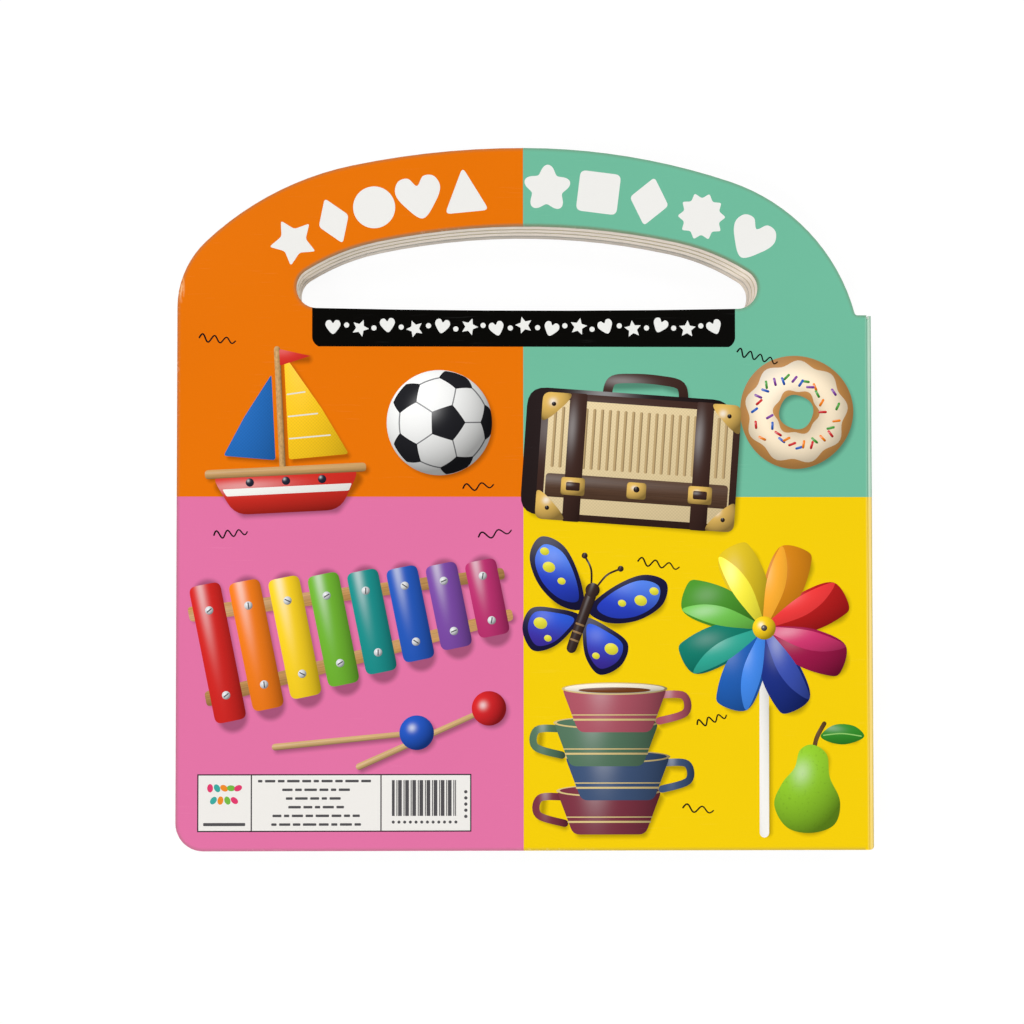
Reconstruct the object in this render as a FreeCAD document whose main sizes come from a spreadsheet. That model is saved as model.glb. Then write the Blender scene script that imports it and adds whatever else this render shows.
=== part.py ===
import FreeCAD, Part
import math
import os
import Sketcher
from FreeCAD import Vector

# A child's board book with a carrying handle. It lies on its front cover, back cover up.
# +X points to the spine, +Y to the handle and +Z up. The origin is the middle of the
# underside. Every board is die cut to one outline: square at the foot, arched at the head,
# with a long slot under the arch that the hand goes through.

sizes = {
    # overall
    "bookWidth": 251.0,  # fore edge to the outside of the spine
    "bookHeight": 253.7,  # foot to the crown of the arch
    "boardThickness": 2.9,  # covers and leaves are cut from the same board
    "leafCount": 2,
    "leafGap": 0.15,  # air between two closed boards
    # spine and creases
    "spineDepth": 1.65,  # from the crease to the outside of the spine
    "spineInset": 0.1,  # how far the spine strip lies below each cover's outer face
    "spineDrop": 0.2,  # how far the strip stops short of the step in the outline
    "spineRound": 0.5,
    "spineCornerRadius": 1.3,
    "nickWidth": 0.8,  # the wrap is cut back beside the crease at its upper end
    "nickDepth": 1.8,
    "creaseGap": 0.15,  # between a cover's edge and the spine strip
    "bindingDepth": 9.0,  # margin where the leaves are glued together
    # fore edge
    "foreCornerRadius": 10.0,
    # arch, from the crown down to the fore edge
    "foreCrownRadius": 302.0,
    "foreCrownSpread": 62.5,  # from the crown to where the tighter curve starts
    "foreShoulderRadius": 33.0,
    "foreShoulderDrop": 58.2,  # from the crown down to the straight fore edge
    # arch, from the crown down to the step beside the spine
    "spineCrownRadius": 236.0,
    "spineCrownSpread": 74.5,
    "stepDrop": 60.6,  # from the crown down to the step
    "stepRun": 5.8,  # from the foot of the arch to the outside of the spine
    "stepFillet": 1.0,
    # handle slot
    "slotLength": 166.8,
    "slotHeight": 29.7,
    "slotOffset": 0.8,  # the slot's middle lies this far towards the spine
    "handleDepth": 28.65,  # board left above the slot at the crown
    "slotCrownRadius": 260.0,
    "slotCrownSpread": 54.5,
    "slotEndRadius": 7.3,
    "slotSillRadius": 3600.0,  # the lower edge bows down very slightly
    # outer edges, pressed round by the die
    "edgeRound": 0.3,
}

doc = FreeCAD.newDocument("board_book")
sheet = doc.addObject("Spreadsheet::Sheet", "sizes")
for row, (alias, value) in enumerate(sizes.items(), start=1):
    sheet.set(f"A{row}", alias)
    sheet.set(f"B{row}", str(value))
    sheet.setAlias(f"B{row}", alias)
doc.recompute()


def size(alias):
    return float(sheet.get(alias))


# Expressions and values that several pieces share
halfWidth = "sizes.bookWidth / 2"
halfHeight = "sizes.bookHeight / 2"
creaseX = f"({halfWidth} - sizes.spineDepth)"
coverEdgeX = f"({creaseX} - sizes.creaseGap)"
stepY = f"({halfHeight} - sizes.stepDrop)"
footX = f"({halfWidth} - sizes.stepRun)"
boardPitch = "(sizes.boardThickness + sizes.leafGap)"
bookThickness = f"(sizes.leafCount + 2) * sizes.boardThickness + (sizes.leafCount + 1) * sizes.leafGap"


def amount(expression):
    """What an expression on the sheet comes to now."""
    return float(sheet.evalExpression(expression))


def polar(centre, point):
    return math.atan2(point.y - centre.y, point.x - centre.x)


def arc(centre, start, end):
    """The arc about centre that runs anticlockwise from start to end."""
    circle = Part.Circle(centre, Vector(0, 0, 1), centre.distanceToPoint(start))
    return Part.ArcOfCircle(circle, polar(centre, start), polar(centre, end))


def crownPoint(centre, radius, spread, side):
    """Where a crown of this radius ends, spread away from the middle, side +1 or -1."""
    return Vector(centre.x + side * spread, centre.y + math.sqrt(radius**2 - spread**2))


def hanceCentre(crownEnd, crownCentre, endCentre, endRadius):
    """Centre of the arc that leaves the crown at crownEnd and runs into the end arc."""
    outward = (crownEnd - crownCentre).normalize()
    across = crownEnd - endCentre
    radius = (across.dot(across) - endRadius**2) / (2 * (outward.dot(across) - endRadius))
    return crownEnd - outward * radius


def joinPoint(hance, end, endRadius):
    """Where the arc about hance touches the smaller arc about end."""
    return end + (end - hance).normalize() * endRadius


class Drawing:
    """A sketch on one of a body's planes whose constraints are bound to the sheet."""

    def __init__(self, body, name, plane="XY_Plane"):
        self.sketch = body.newObject("Sketcher::SketchObject", name)
        origin = [o for o in body.Origin.OriginFeatures if o.Role == plane]
        self.sketch.AttachmentSupport = [(origin[0], "")]
        self.sketch.MapMode = "FlatFace"

    def add(self, *shapes):
        return [self.sketch.addGeometry(shape, False) for shape in shapes]

    def rule(self, kind, *where):
        self.sketch.addConstraint(Sketcher.Constraint(kind, *where))

    def bind(self, name, expression, kind, *where):
        index = self.sketch.addConstraint(
            Sketcher.Constraint(kind, *where, amount(expression))
        )
        self.sketch.renameConstraint(index, name)
        self.sketch.setExpression(f"Constraints.{name}", expression)

    def xy(self, name, shape, end, x=None, y=None):
        """Fixes a point's distances from the origin: end 1 is a start, 2 an end, 3 a centre."""
        for letter, kind, expression in (("X", "DistanceX", x), ("Y", "DistanceY", y)):
            if expression is not None:
                self.bind(name + letter, expression, kind, -1, 1, shape, end)

    def chain(self, shapes, kinds):
        """Joins each shape's end to the next one's start."""
        for here, following, kind in zip(shapes, shapes[1:] + shapes[:1], kinds):
            self.rule(kind, here, 2, following, 1)


def drawOutline(body, rightEdge):
    """The die-cut outline with its right edge at rightEdge, drawn anticlockwise from the foot."""
    half, top = amount(halfWidth), amount(halfHeight)
    corner, shoulder = size("foreCornerRadius"), size("foreShoulderRadius")
    right, step, foot = amount(rightEdge), amount(stepY), amount(footX)

    crownTop = Vector(0, top)
    foreCrown = Vector(0, top - size("foreCrownRadius"))
    foreEnd = crownPoint(foreCrown, size("foreCrownRadius"), size("foreCrownSpread"), -1)
    shoulderCentre = Vector(shoulder - half, top - size("foreShoulderDrop"))
    foreHance = hanceCentre(foreEnd, foreCrown, shoulderCentre, shoulder)
    foreJoin = joinPoint(foreHance, shoulderCentre, shoulder)

    spineCrown = Vector(0, top - size("spineCrownRadius"))
    spineEnd = crownPoint(spineCrown, size("spineCrownRadius"), size("spineCrownSpread"), 1)
    archFoot = Vector(foot, step)
    spineHance = hanceCentre(spineEnd, spineCrown, archFoot, 0)

    lowLeft = Vector(-half, corner - top)
    lowRight = Vector(corner - half, -top)
    drawing = Drawing(body, body.Name + "_outline")
    bottom, edge, ledge, rise, crown, fall, turn, roundEnd, fore, foreCorner = drawing.add(
        Part.LineSegment(lowRight, Vector(right, -top)),
        Part.LineSegment(Vector(right, -top), Vector(right, step)),
        Part.LineSegment(Vector(right, step), archFoot),
        arc(spineHance, archFoot, spineEnd),
        arc(spineCrown, spineEnd, crownTop),
        arc(foreCrown, crownTop, foreEnd),
        arc(foreHance, foreEnd, foreJoin),
        arc(shoulderCentre, foreJoin, shoulderCentre - Vector(shoulder, 0)),
        Part.LineSegment(shoulderCentre - Vector(shoulder, 0), lowLeft),
        arc(Vector(corner - half, corner - top), lowLeft, lowRight),
    )
    drawing.rule("Horizontal", bottom)
    drawing.rule("Vertical", edge)
    drawing.rule("Horizontal", ledge)
    drawing.rule("Vertical", fore)
    drawing.chain(
        [bottom, edge, ledge, rise, crown, fall, turn, roundEnd, fore, foreCorner],
        ["Coincident"] * 3 + ["Tangent"] * 7,
    )
    drawing.bind("spineCrown", "sizes.spineCrownRadius", "Radius", crown)
    drawing.bind("foreCrown", "sizes.foreCrownRadius", "Radius", fall)
    drawing.bind("foreShoulder", "sizes.foreShoulderRadius", "Radius", roundEnd)
    drawing.bind("foreCorner", "sizes.foreCornerRadius", "Radius", foreCorner)
    drawing.xy("low", bottom, 1, y=f"-{halfHeight}")
    drawing.xy("right", edge, 2, x=rightEdge, y=stepY)
    drawing.xy("foot", ledge, 2, x=footX)
    drawing.xy("spineSpread", rise, 2, x="sizes.spineCrownSpread")
    drawing.xy("top", crown, 2, x="0", y=halfHeight)
    drawing.xy("crownCentre", crown, 3, x="0")
    drawing.xy("foreSpread", fall, 2, x="-sizes.foreCrownSpread")
    drawing.xy("foreEdge", fore, 1, x=f"-{halfWidth}", y=f"{halfHeight} - sizes.foreShoulderDrop")
    return drawing.sketch


def drawSlot(body):
    """The handle slot: a shallow crown, two tighter curves, round ends and a sill."""
    centreX, topY = size("slotOffset"), amount(f"{halfHeight} - sizes.handleDepth")
    low, half = topY - size("slotHeight"), size("slotLength") / 2
    radius, spread, end = size("slotCrownRadius"), size("slotCrownSpread"), size("slotEndRadius")
    sill = size("slotSillRadius")

    crownCentre = Vector(centreX, topY - radius)
    rightEnd = Vector(centreX + half - end, low + end)
    leftEnd = Vector(centreX - half + end, low + end)
    crownRight = crownPoint(crownCentre, radius, spread, 1)
    crownLeft = crownPoint(crownCentre, radius, spread, -1)
    hanceRight = hanceCentre(crownRight, crownCentre, rightEnd, end)
    hanceLeft = hanceCentre(crownLeft, crownCentre, leftEnd, end)
    sillCentre = Vector(centreX, rightEnd.y + math.sqrt((sill - end) ** 2 - (half - end) ** 2))
    sillLeft = joinPoint(sillCentre, leftEnd, end)
    sillRight = joinPoint(sillCentre, rightEnd, end)
    joinRight = joinPoint(hanceRight, rightEnd, end)
    joinLeft = joinPoint(hanceLeft, leftEnd, end)

    drawing = Drawing(body, body.Name + "_slot")
    shapes = drawing.add(
        arc(sillCentre, sillLeft, sillRight),
        arc(rightEnd, sillRight, joinRight),
        arc(hanceRight, joinRight, crownRight),
        arc(crownCentre, crownRight, crownLeft),
        arc(hanceLeft, crownLeft, joinLeft),
        arc(leftEnd, joinLeft, sillLeft),
    )
    sillArc, endRight, turnRight, crown, turnLeft, endLeft = shapes
    drawing.chain(shapes, ["Tangent"] * 6)
    drawing.bind("sillRadius", "sizes.slotSillRadius", "Radius", sillArc)
    drawing.bind("crownRadius", "sizes.slotCrownRadius", "Radius", crown)
    drawing.bind("rightRadius", "sizes.slotEndRadius", "Radius", endRight)
    drawing.bind("leftRadius", "sizes.slotEndRadius", "Radius", endLeft)
    reach = "(sizes.slotLength / 2 - sizes.slotEndRadius)"
    endY = f"{halfHeight} - sizes.handleDepth - sizes.slotHeight + sizes.slotEndRadius"
    crownY = f"{halfHeight} - sizes.handleDepth - sizes.slotCrownRadius"
    drawing.xy("rightCentre", endRight, 3, x=f"sizes.slotOffset + {reach}", y=endY)
    drawing.xy("leftCentre", endLeft, 3, x=f"sizes.slotOffset - {reach}", y=endY)
    drawing.xy("crownCentre", crown, 3, x="sizes.slotOffset", y=crownY)
    drawing.xy("crownRight", crown, 1, x="sizes.slotOffset + sizes.slotCrownSpread")
    drawing.xy("crownLeft", crown, 2, x="sizes.slotOffset - sizes.slotCrownSpread")
    return drawing.sketch


def newBody(name, height):
    """An empty body whose underside lies at the given height."""
    body = doc.addObject("PartDesign::Body", name)
    body.Label = name
    body.setExpression(".Placement.Base.z", height)
    return body


def pad(body, sketch, name, length):
    feature = body.newObject("PartDesign::Pad", name)
    feature.Profile = sketch
    feature.setExpression("Length", length)
    doc.recompute()
    return feature


def cutThrough(body, sketch, name):
    """Cuts the sketch right through the body, both ways."""
    before = body.Shape.Volume
    feature = body.newObject("PartDesign::Pocket", name)
    feature.Profile = sketch
    feature.Type = "ThroughAll"
    feature.SideType = "Symmetric"
    doc.recompute()
    assert body.Shape.Volume < before, f"{name} cuts nothing"
    return feature


def roundEdges(body, name, radius, chosen):
    """Rounds the edges of the body that chosen(edge) picks."""
    tip = body.Tip
    names = [f"Edge{i}" for i, edge in enumerate(tip.Shape.Edges, start=1) if chosen(edge)]
    feature = body.newObject("PartDesign::Fillet", name)
    feature.Base = (tip, names)
    feature.setExpression("Radius", radius)
    doc.recompute()
    return feature


def close(a, b):
    return abs(a - b) < 1e-4


def lies(edge, x=None, y=None, z=None):
    """Whether every vertex of the edge lies at the coordinates given."""
    return all(
        (x is None or close(v.X, x)) and (y is None or close(v.Y, y)) and (z is None or close(v.Z, z))
        for v in edge.Vertexes
    )


def dieCut(body, rightEdge, thickness):
    """One board, or a stack of boards, cut to the outline with its handle slot."""
    pad(body, drawOutline(body, rightEdge), body.Name + "_board", thickness)
    cutThrough(body, drawSlot(body), body.Name + "_handle_slot")
    foot, step = amount(footX), amount(stepY)
    roundEdges(body, body.Name + "_step_fillet", "sizes.stepFillet", lambda e: lies(e, foot, step))


def makeCover(name, height, outerFace):
    """A cover board whose outer face, at outerFace above its underside, has round edges."""
    body = newBody(name, height)
    dieCut(body, coverEdgeX, "sizes.boardThickness")
    level = body.Placement.Base.z + amount(outerFace)
    crease = amount(coverEdgeX)
    roundEdges(
        body,
        name + "_edge_round",
        "sizes.edgeRound",
        lambda e: lies(e, z=level - body.Placement.Base.z) and not lies(e, x=crease),
    )
    return body


def makePages():
    """The leaves as one block, glued along the binding margin and free beyond it."""
    body = newBody("page_block", boardPitch)
    dieCut(body, creaseX, f"{bookThickness} - 2 * {boardPitch}")
    for leaf in range(1, int(size("leafCount"))):
        slit = Drawing(body, f"leaf_slit_{leaf}_profile", "XZ_Plane")
        low = f"{leaf} * {boardPitch} - sizes.leafGap"
        left, right = f"-{halfWidth} - sizes.leafGap", f"{creaseX} - sizes.bindingDepth"
        x0, x1, z0 = amount(left), amount(right), amount(low)
        z1 = z0 + size("leafGap")
        sides = slit.add(
            Part.LineSegment(Vector(x0, z0), Vector(x1, z0)),
            Part.LineSegment(Vector(x1, z0), Vector(x1, z1)),
            Part.LineSegment(Vector(x1, z1), Vector(x0, z1)),
            Part.LineSegment(Vector(x0, z1), Vector(x0, z0)),
        )
        slit.chain(sides, ["Coincident"] * 4)
        for side, kind in zip(sides, ["Horizontal", "Vertical"] * 2):
            slit.rule(kind, side)
        slit.xy("nearLow", sides[0], 1, x=left, y=low)
        slit.xy("farHigh", sides[1], 2, x=right, y=f"{leaf} * {boardPitch}")
        cutThrough(body, slit.sketch, f"leaf_slit_{leaf}")
    return body


def makeSpine():
    """The strip of the wrap that closes the bound edge between the two creases."""
    body = newBody("spine", "sizes.spineInset")
    drawing = Drawing(body, "spine_profile")
    headY, nickX = f"({stepY} - sizes.spineDrop)", f"({creaseX} + sizes.nickWidth)"
    x0, x1, y0, y1 = amount(creaseX), amount(halfWidth), -amount(halfHeight), amount(headY)
    corners = [(x0, y0), (x1, y0), (x1, y1), (amount(nickX), y1), (x0, y1 - size("nickDepth"))]
    foot, outside, head, nick, crease = drawing.add(
        *[
            Part.LineSegment(Vector(*here), Vector(*there))
            for here, there in zip(corners, corners[1:] + corners[:1])
        ]
    )
    drawing.chain([foot, outside, head, nick, crease], ["Coincident"] * 5)
    drawing.rule("Horizontal", foot)
    drawing.rule("Vertical", outside)
    drawing.rule("Horizontal", head)
    drawing.rule("Vertical", crease)
    drawing.xy("creaseFoot", foot, 1, x=creaseX, y=f"-{halfHeight}")
    drawing.xy("outerHead", outside, 2, x=halfWidth, y=headY)
    drawing.xy("nickHead", nick, 1, x=nickX)
    drawing.xy("nickFoot", nick, 2, y=f"{headY} - sizes.nickDepth")
    pad(body, drawing.sketch, "spine_strip", f"{bookThickness} - 2 * sizes.spineInset")
    roundEdges(body, "spine_corner", "sizes.spineCornerRadius", lambda e: lies(e, x1, y0))
    top = amount(f"{bookThickness} - 2 * sizes.spineInset")

    def outer(edge):
        return any(lies(edge, z=level) for level in (0, top)) and not lies(edge, x=x0)

    roundEdges(body, "spine_round", "sizes.spineRound", outer)
    return body


pieces = [
    makeCover("front_cover", "0", "0"),
    makePages(),
    makeSpine(),
    makeCover("back_cover", f"{bookThickness} - sizes.boardThickness", "sizes.boardThickness"),
]
doc.recompute()

for thing in doc.Objects:
    assert not {"Invalid", "Error"} & set(thing.State), f"{thing.Name} is {thing.State}"
    if thing.TypeId == "Sketcher::SketchObject":
        assert thing.FullyConstrained, f"{thing.Name} isn't fully constrained"
for piece in pieces:
    shape = piece.Shape
    assert not shape.isNull() and shape.isValid() and len(shape.Solids) == 1, f"{piece.Label} failed"

os.makedirs("parts", exist_ok=True)
for piece in pieces:
    piece.Shape.exportStep(f"parts/{piece.Label}.step")
    box = piece.Shape.optimalBoundingBox(False)
    print(
        f"{piece.Label}: volume {piece.Shape.Volume / 1000:.2f} cm3,"
        f" x {box.XMin:.2f}..{box.XMax:.2f}, y {box.YMin:.2f}..{box.YMax:.2f},"
        f" z {box.ZMin:.2f}..{box.ZMax:.2f}"
    )
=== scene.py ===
import math

import bpy
from mathutils import Matrix, Vector, geometry


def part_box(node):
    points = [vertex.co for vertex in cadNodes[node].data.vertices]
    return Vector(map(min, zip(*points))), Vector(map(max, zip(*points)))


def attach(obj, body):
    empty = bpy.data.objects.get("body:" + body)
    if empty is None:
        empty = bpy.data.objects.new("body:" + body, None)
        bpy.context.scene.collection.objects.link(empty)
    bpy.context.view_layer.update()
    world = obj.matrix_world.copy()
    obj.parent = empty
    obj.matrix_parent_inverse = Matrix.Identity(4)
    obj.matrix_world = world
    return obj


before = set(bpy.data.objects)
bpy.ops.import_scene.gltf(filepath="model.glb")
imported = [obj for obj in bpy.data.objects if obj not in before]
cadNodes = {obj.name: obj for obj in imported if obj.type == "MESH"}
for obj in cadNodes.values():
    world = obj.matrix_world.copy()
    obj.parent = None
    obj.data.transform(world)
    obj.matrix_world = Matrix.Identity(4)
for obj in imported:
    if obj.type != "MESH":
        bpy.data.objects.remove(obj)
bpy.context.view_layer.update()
mm = 0.001
print("frame loaded:", ", ".join(sorted(cadNodes)))


# Colours and node helpers

def ink(red, green, blue):
    channels = [c / 255 for c in (red, green, blue)]
    return tuple(((c + 0.055) / 1.055) ** 2.4 if c > 0.04 else c / 12.92 for c in channels) + (1.0,)


def feed(tree, socket, value):
    if isinstance(value, bpy.types.NodeSocket):
        tree.links.new(value, socket)
    elif value is not None:
        socket.default_value = value[:3] if socket.type == "VECTOR" else value


def place(tree, kind, *inputs, **settings):
    node = tree.nodes.new("ShaderNode" + kind)
    for name, value in settings.items():
        setattr(node, name, value)
    for socket, value in zip(node.inputs, inputs):
        feed(tree, socket, value)
    return node


def calc(tree, operation, *inputs, clamp=False):
    return place(tree, "Math", *inputs, operation=operation, use_clamp=clamp).outputs[0]


def vectorCalc(tree, operation, *inputs):
    node = place(tree, "VectorMath", *inputs, operation=operation)
    return node.outputs["Value" if operation in ("LENGTH", "DISTANCE", "DOT_PRODUCT") else "Vector"]


def scaled(tree, vector, factor):
    node = place(tree, "VectorMath", vector, operation="SCALE")
    feed(tree, node.inputs["Scale"], factor)
    return node.outputs[0]


def split(tree, vector):
    return place(tree, "SeparateXYZ", vector).outputs


def spread(tree, value, low, high, toLow=0.0, toHigh=1.0, soft=False):
    kind = "SMOOTHSTEP" if soft else "LINEAR"
    return place(tree, "MapRange", value, low, high, toLow, toHigh, interpolation_type=kind).outputs[0]


def mixColours(tree, factor, first, second):
    node = tree.nodes.new("ShaderNodeMix")
    node.data_type = "RGBA"
    for index, value in ((0, factor), (6, first), (7, second)):
        feed(tree, node.inputs[index], value)
    return node.outputs[2]


def noise(tree, vector, scale, detail=2.0, roughness=0.5):
    node = tree.nodes.new("ShaderNodeTexNoise")
    for name, value in (("Vector", vector), ("Scale", scale), ("Detail", detail), ("Roughness", roughness)):
        feed(tree, node.inputs[name], value)
    return node.outputs[0]


def newGroup(name, inputs, outputs):
    tree = bpy.data.node_groups.new(name, "ShaderNodeTree")
    for label, kind in inputs.items():
        tree.interface.new_socket(name=label, in_out="INPUT", socket_type="NodeSocket" + kind)
    for label, kind in outputs.items():
        tree.interface.new_socket(name=label, in_out="OUTPUT", socket_type="NodeSocket" + kind)
    given = tree.nodes.new("NodeGroupInput").outputs
    result = tree.nodes.new("NodeGroupOutput").inputs
    return tree, given, result


def useGroup(tree, group, **values):
    node = tree.nodes.new("ShaderNodeGroup")
    node.node_tree = group
    for name, value in values.items():
        feed(tree, node.inputs[name], value)
    return node.outputs


# Effects that several materials share

laminate = {
    "tintScale": 20,  # slow drift of the ink over the sheet
    "tintAmount": 0.05,
    "grainScale": 2400,  # paper and screen grain
    "grainAmount": 0.045,
    "grainRoughness": 0.06,
    "waveScale": 260,  # the film's own slight waves
    "scuffStretch": (70, 1300, 70),  # scuffs are streaks across the book
    "scuffFrom": (0.6, 0.75),
    "patchScale": 45,  # and they lie in patches
    "patchFrom": (0.45, 0.7),
    "scuffInk": (0.9, 0.9, 0.88, 1),
    "scuffPale": 0.012,
    "scuffDepth": 0.3,
    "scuffRoughness": 0.1,
    "roughness": 0.22,
    "specular": 0.14,
    "bump": 0.02 * mm,
    "bumpStrength": 0.25,
}


def makePrintedLaminate():
    tree, given, result = newGroup(
        "printedLaminate",
        {"Vector": "Vector", "Color": "Color", "Wear": "Float"},
        {"Color": "Color", "Roughness": "Float", "Height": "Float"},
    )
    position = given["Vector"]
    tint = calc(tree, "SUBTRACT", noise(tree, position, laminate["tintScale"]), 0.5)
    grain = noise(tree, position, laminate["grainScale"])
    grainShift = calc(tree, "MULTIPLY", calc(tree, "SUBTRACT", grain, 0.5), laminate["grainAmount"])
    brightness = calc(tree, "MULTIPLY_ADD", tint, laminate["tintAmount"], 1.0)
    brightness = calc(tree, "ADD", brightness, grainShift)
    stretched = vectorCalc(tree, "MULTIPLY", position, laminate["scuffStretch"])
    scuff = spread(tree, noise(tree, stretched, 1.0, 4.0), *laminate["scuffFrom"])
    patches = spread(tree, noise(tree, position, laminate["patchScale"], 3.0), *laminate["patchFrom"])
    scuff = calc(tree, "MULTIPLY", calc(tree, "MULTIPLY", scuff, patches), given["Wear"])
    colour = scaled(tree, given["Color"], brightness)
    pale = calc(tree, "MULTIPLY", scuff, laminate["scuffPale"])
    feed(tree, result["Color"], mixColours(tree, pale, colour, laminate["scuffInk"]))
    rough = calc(tree, "MULTIPLY_ADD", scuff, laminate["scuffRoughness"], laminate["roughness"])
    rough = calc(tree, "MULTIPLY_ADD", grain, laminate["grainRoughness"], rough)
    feed(tree, result["Roughness"], rough)
    waves = noise(tree, position, laminate["waveScale"], 3.0)
    dents = calc(tree, "MULTIPLY", scuff, laminate["scuffDepth"])
    feed(tree, result["Height"], calc(tree, "SUBTRACT", waves, dents))
    return tree


rawEdge = {
    "core": ink(238, 229, 218),
    "fibre": ink(216, 206, 193),
    "glueAndGapShade": ink(104, 97, 88),
    "fleck": ink(130, 116, 100),
    "layerStretch": (160, 160, 4200),  # the fibres lie flat in the board
    "layerFrom": (0.35, 0.68),
    "fleckScale": 1700,
    "fleckFrom": (0.69, 0.74),
    "fleckAmount": 0.5,
    "roughness": 0.85,
    "faceLine": 0.5,  # mm over which the board darkens towards each of its faces: glue lines, and painted shade in the gaps between boards
    "lineWobble": 0.12,
    "wobbleScale": 120,
    "lineAmount": 0.75,
    # raw edges between slotEnds and slotReach, in mm from the middle, are plainer and carry painted light,
    # paler, above slotFoot: both ends of the slot, and the arch's edge beside them
    "slotEnds": (67, 80),
    "slotReach": 90,
    "slotFoot": 55,
    "endLight": 0.2,
    "endLines": 0.45,
    "shadeFore": (-80, -30),  # mm along X, over which the painted shade on a cover's raw edge changes
    "shadeSpine": (66, 80),
}


def makeRawBoard():
    tree, given, result = newGroup(
        "rawBoardEdge",
        {"Vector": "Vector", "Low": "Float", "Pitch": "Float", "Thickness": "Float"},
        {"Color": "Color", "Height": "Float"},
    )
    position = given["Vector"]
    parts = split(tree, position)
    sideways = calc(tree, "ABSOLUTE", parts["X"])
    inSlot = calc(tree, "MULTIPLY", calc(tree, "LESS_THAN", sideways, rawEdge["slotReach"] * mm),
                  calc(tree, "GREATER_THAN", parts["Y"], rawEdge["slotFoot"] * mm))
    atEnds = calc(tree, "MULTIPLY", spread(tree, sideways, *(x * mm for x in rawEdge["slotEnds"])), inSlot)
    turns = calc(tree, "DIVIDE", calc(tree, "SUBTRACT", parts["Z"], given["Low"]), given["Pitch"])
    within = calc(tree, "MULTIPLY", calc(tree, "FRACT", calc(tree, "ADD", turns, 1.0)), given["Pitch"])
    above = calc(tree, "SUBTRACT", given["Thickness"], within)
    toFace = calc(tree, "MINIMUM", within, above)
    wobble = noise(tree, position, rawEdge["wobbleScale"], 3.0)
    wobble = calc(tree, "MULTIPLY", wobble, rawEdge["lineWobble"] * mm)
    toLine = calc(tree, "SUBTRACT", toFace, wobble)
    faceLine = spread(tree, toLine, 0, rawEdge["faceLine"] * mm, 1, 0, soft=True)
    stretched = vectorCalc(tree, "MULTIPLY", position, rawEdge["layerStretch"])
    layers = noise(tree, stretched, 1.0, 4.0, 0.6)
    fibres = spread(tree, layers, *rawEdge["layerFrom"])
    colour = mixColours(tree, fibres, rawEdge["core"], rawEdge["fibre"])
    flecks = spread(tree, noise(tree, position, rawEdge["fleckScale"], 2.0), *rawEdge["fleckFrom"])
    flecks = calc(tree, "MULTIPLY", flecks, rawEdge["fleckAmount"])
    colour = mixColours(tree, flecks, colour, rawEdge["fleck"])
    lineAmount = spread(tree, atEnds, 0, 1, rawEdge["lineAmount"], rawEdge["endLines"])
    # glue lines, and painted shade in the gaps between the boards
    colour = mixColours(tree, calc(tree, "MULTIPLY", faceLine, lineAmount), colour, rawEdge["glueAndGapShade"])
    # painted light: the raw edges at the slot's ends are lifted paler
    colour = scaled(tree, colour, calc(tree, "MULTIPLY_ADD", atEnds, rawEdge["endLight"], 1.0))
    feed(tree, result["Color"], colour)
    feed(tree, result["Height"], calc(tree, "SUBTRACT", layers, faceLine))
    return tree


def makeSoftShadow():
    # a soft line or ring: the shadow printed beside a pictured thing
    tree, given, result = newGroup(
        "softShadow",
        {"Vector": "Vector", "From": "Vector", "Along": "Vector", "Share": "Vector",
         "Ring": "Float", "Full": "Float", "Gone": "Float"},
        {"Mask": "Float"},
    )
    offset = vectorCalc(tree, "SUBTRACT", given["Vector"], given["From"])
    share = calc(tree, "ADD", vectorCalc(tree, "DOT_PRODUCT", offset, given["Share"]), 0.0, clamp=True)
    away = vectorCalc(tree, "DISTANCE", offset, scaled(tree, given["Along"], share))
    away = calc(tree, "ABSOLUTE", calc(tree, "SUBTRACT", away, given["Ring"]))
    feed(tree, result["Mask"], spread(tree, away, given["Full"], given["Gone"], 1, 0, soft=True))
    return tree


pictureLook = {"lit": 0.9, "unlit": 0.34, "glint": 42.0, "wear": 0.4}
pictureLamp = Vector((-0.42, 0.52, 0.74)).normalized()
pictureHalf = (pictureLamp + Vector((0, 0, 1))).normalized()


def makePictureLight():
    # light and shade printed on a pictured thing, from its place in the picture's own frame
    tree, given, result = newGroup(
        "pictureLight",
        {"Picture": "Vector", "Bend": "Vector", "Shine": "Float"},
        {"Shade": "Float", "Glint": "Float"},
    )
    centred = vectorCalc(tree, "SUBTRACT", given["Picture"], (0.5, 0.5, 0))
    tilt = vectorCalc(tree, "MULTIPLY", scaled(tree, centred, 2.0), given["Bend"])
    tilt = vectorCalc(tree, "MULTIPLY", tilt, (1, 1, 0))
    flat = calc(tree, "SUBTRACT", 1.0, vectorCalc(tree, "DOT_PRODUCT", tilt, tilt))
    rise = calc(tree, "SQRT", calc(tree, "MAXIMUM", flat, 0.01))
    upright = place(tree, "CombineXYZ", 0.0, 0.0, rise).outputs[0]
    normal = vectorCalc(tree, "ADD", tilt, upright)
    lit = calc(tree, "MAXIMUM", vectorCalc(tree, "DOT_PRODUCT", normal, tuple(pictureLamp)), 0.0)
    feed(tree, result["Shade"], calc(tree, "MULTIPLY_ADD", lit, pictureLook["lit"], pictureLook["unlit"]))
    mirror = calc(tree, "MAXIMUM", vectorCalc(tree, "DOT_PRODUCT", normal, tuple(pictureHalf)), 0.0)
    glint = calc(tree, "POWER", mirror, pictureLook["glint"])
    feed(tree, result["Glint"], calc(tree, "MULTIPLY", glint, given["Shine"]))
    return tree


printedLaminate = makePrintedLaminate()
rawBoardEdge = makeRawBoard()
softShadow = makeSoftShadow()
pictureLight = makePictureLight()
print("shader groups made")


def newMaterial(name):
    material = bpy.data.materials.new(name)
    material.use_nodes = True
    tree = material.node_tree
    shader = tree.nodes["Principled BSDF"]
    shader.inputs["Specular IOR Level"].default_value = laminate["specular"]
    return material, tree, shader


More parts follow.
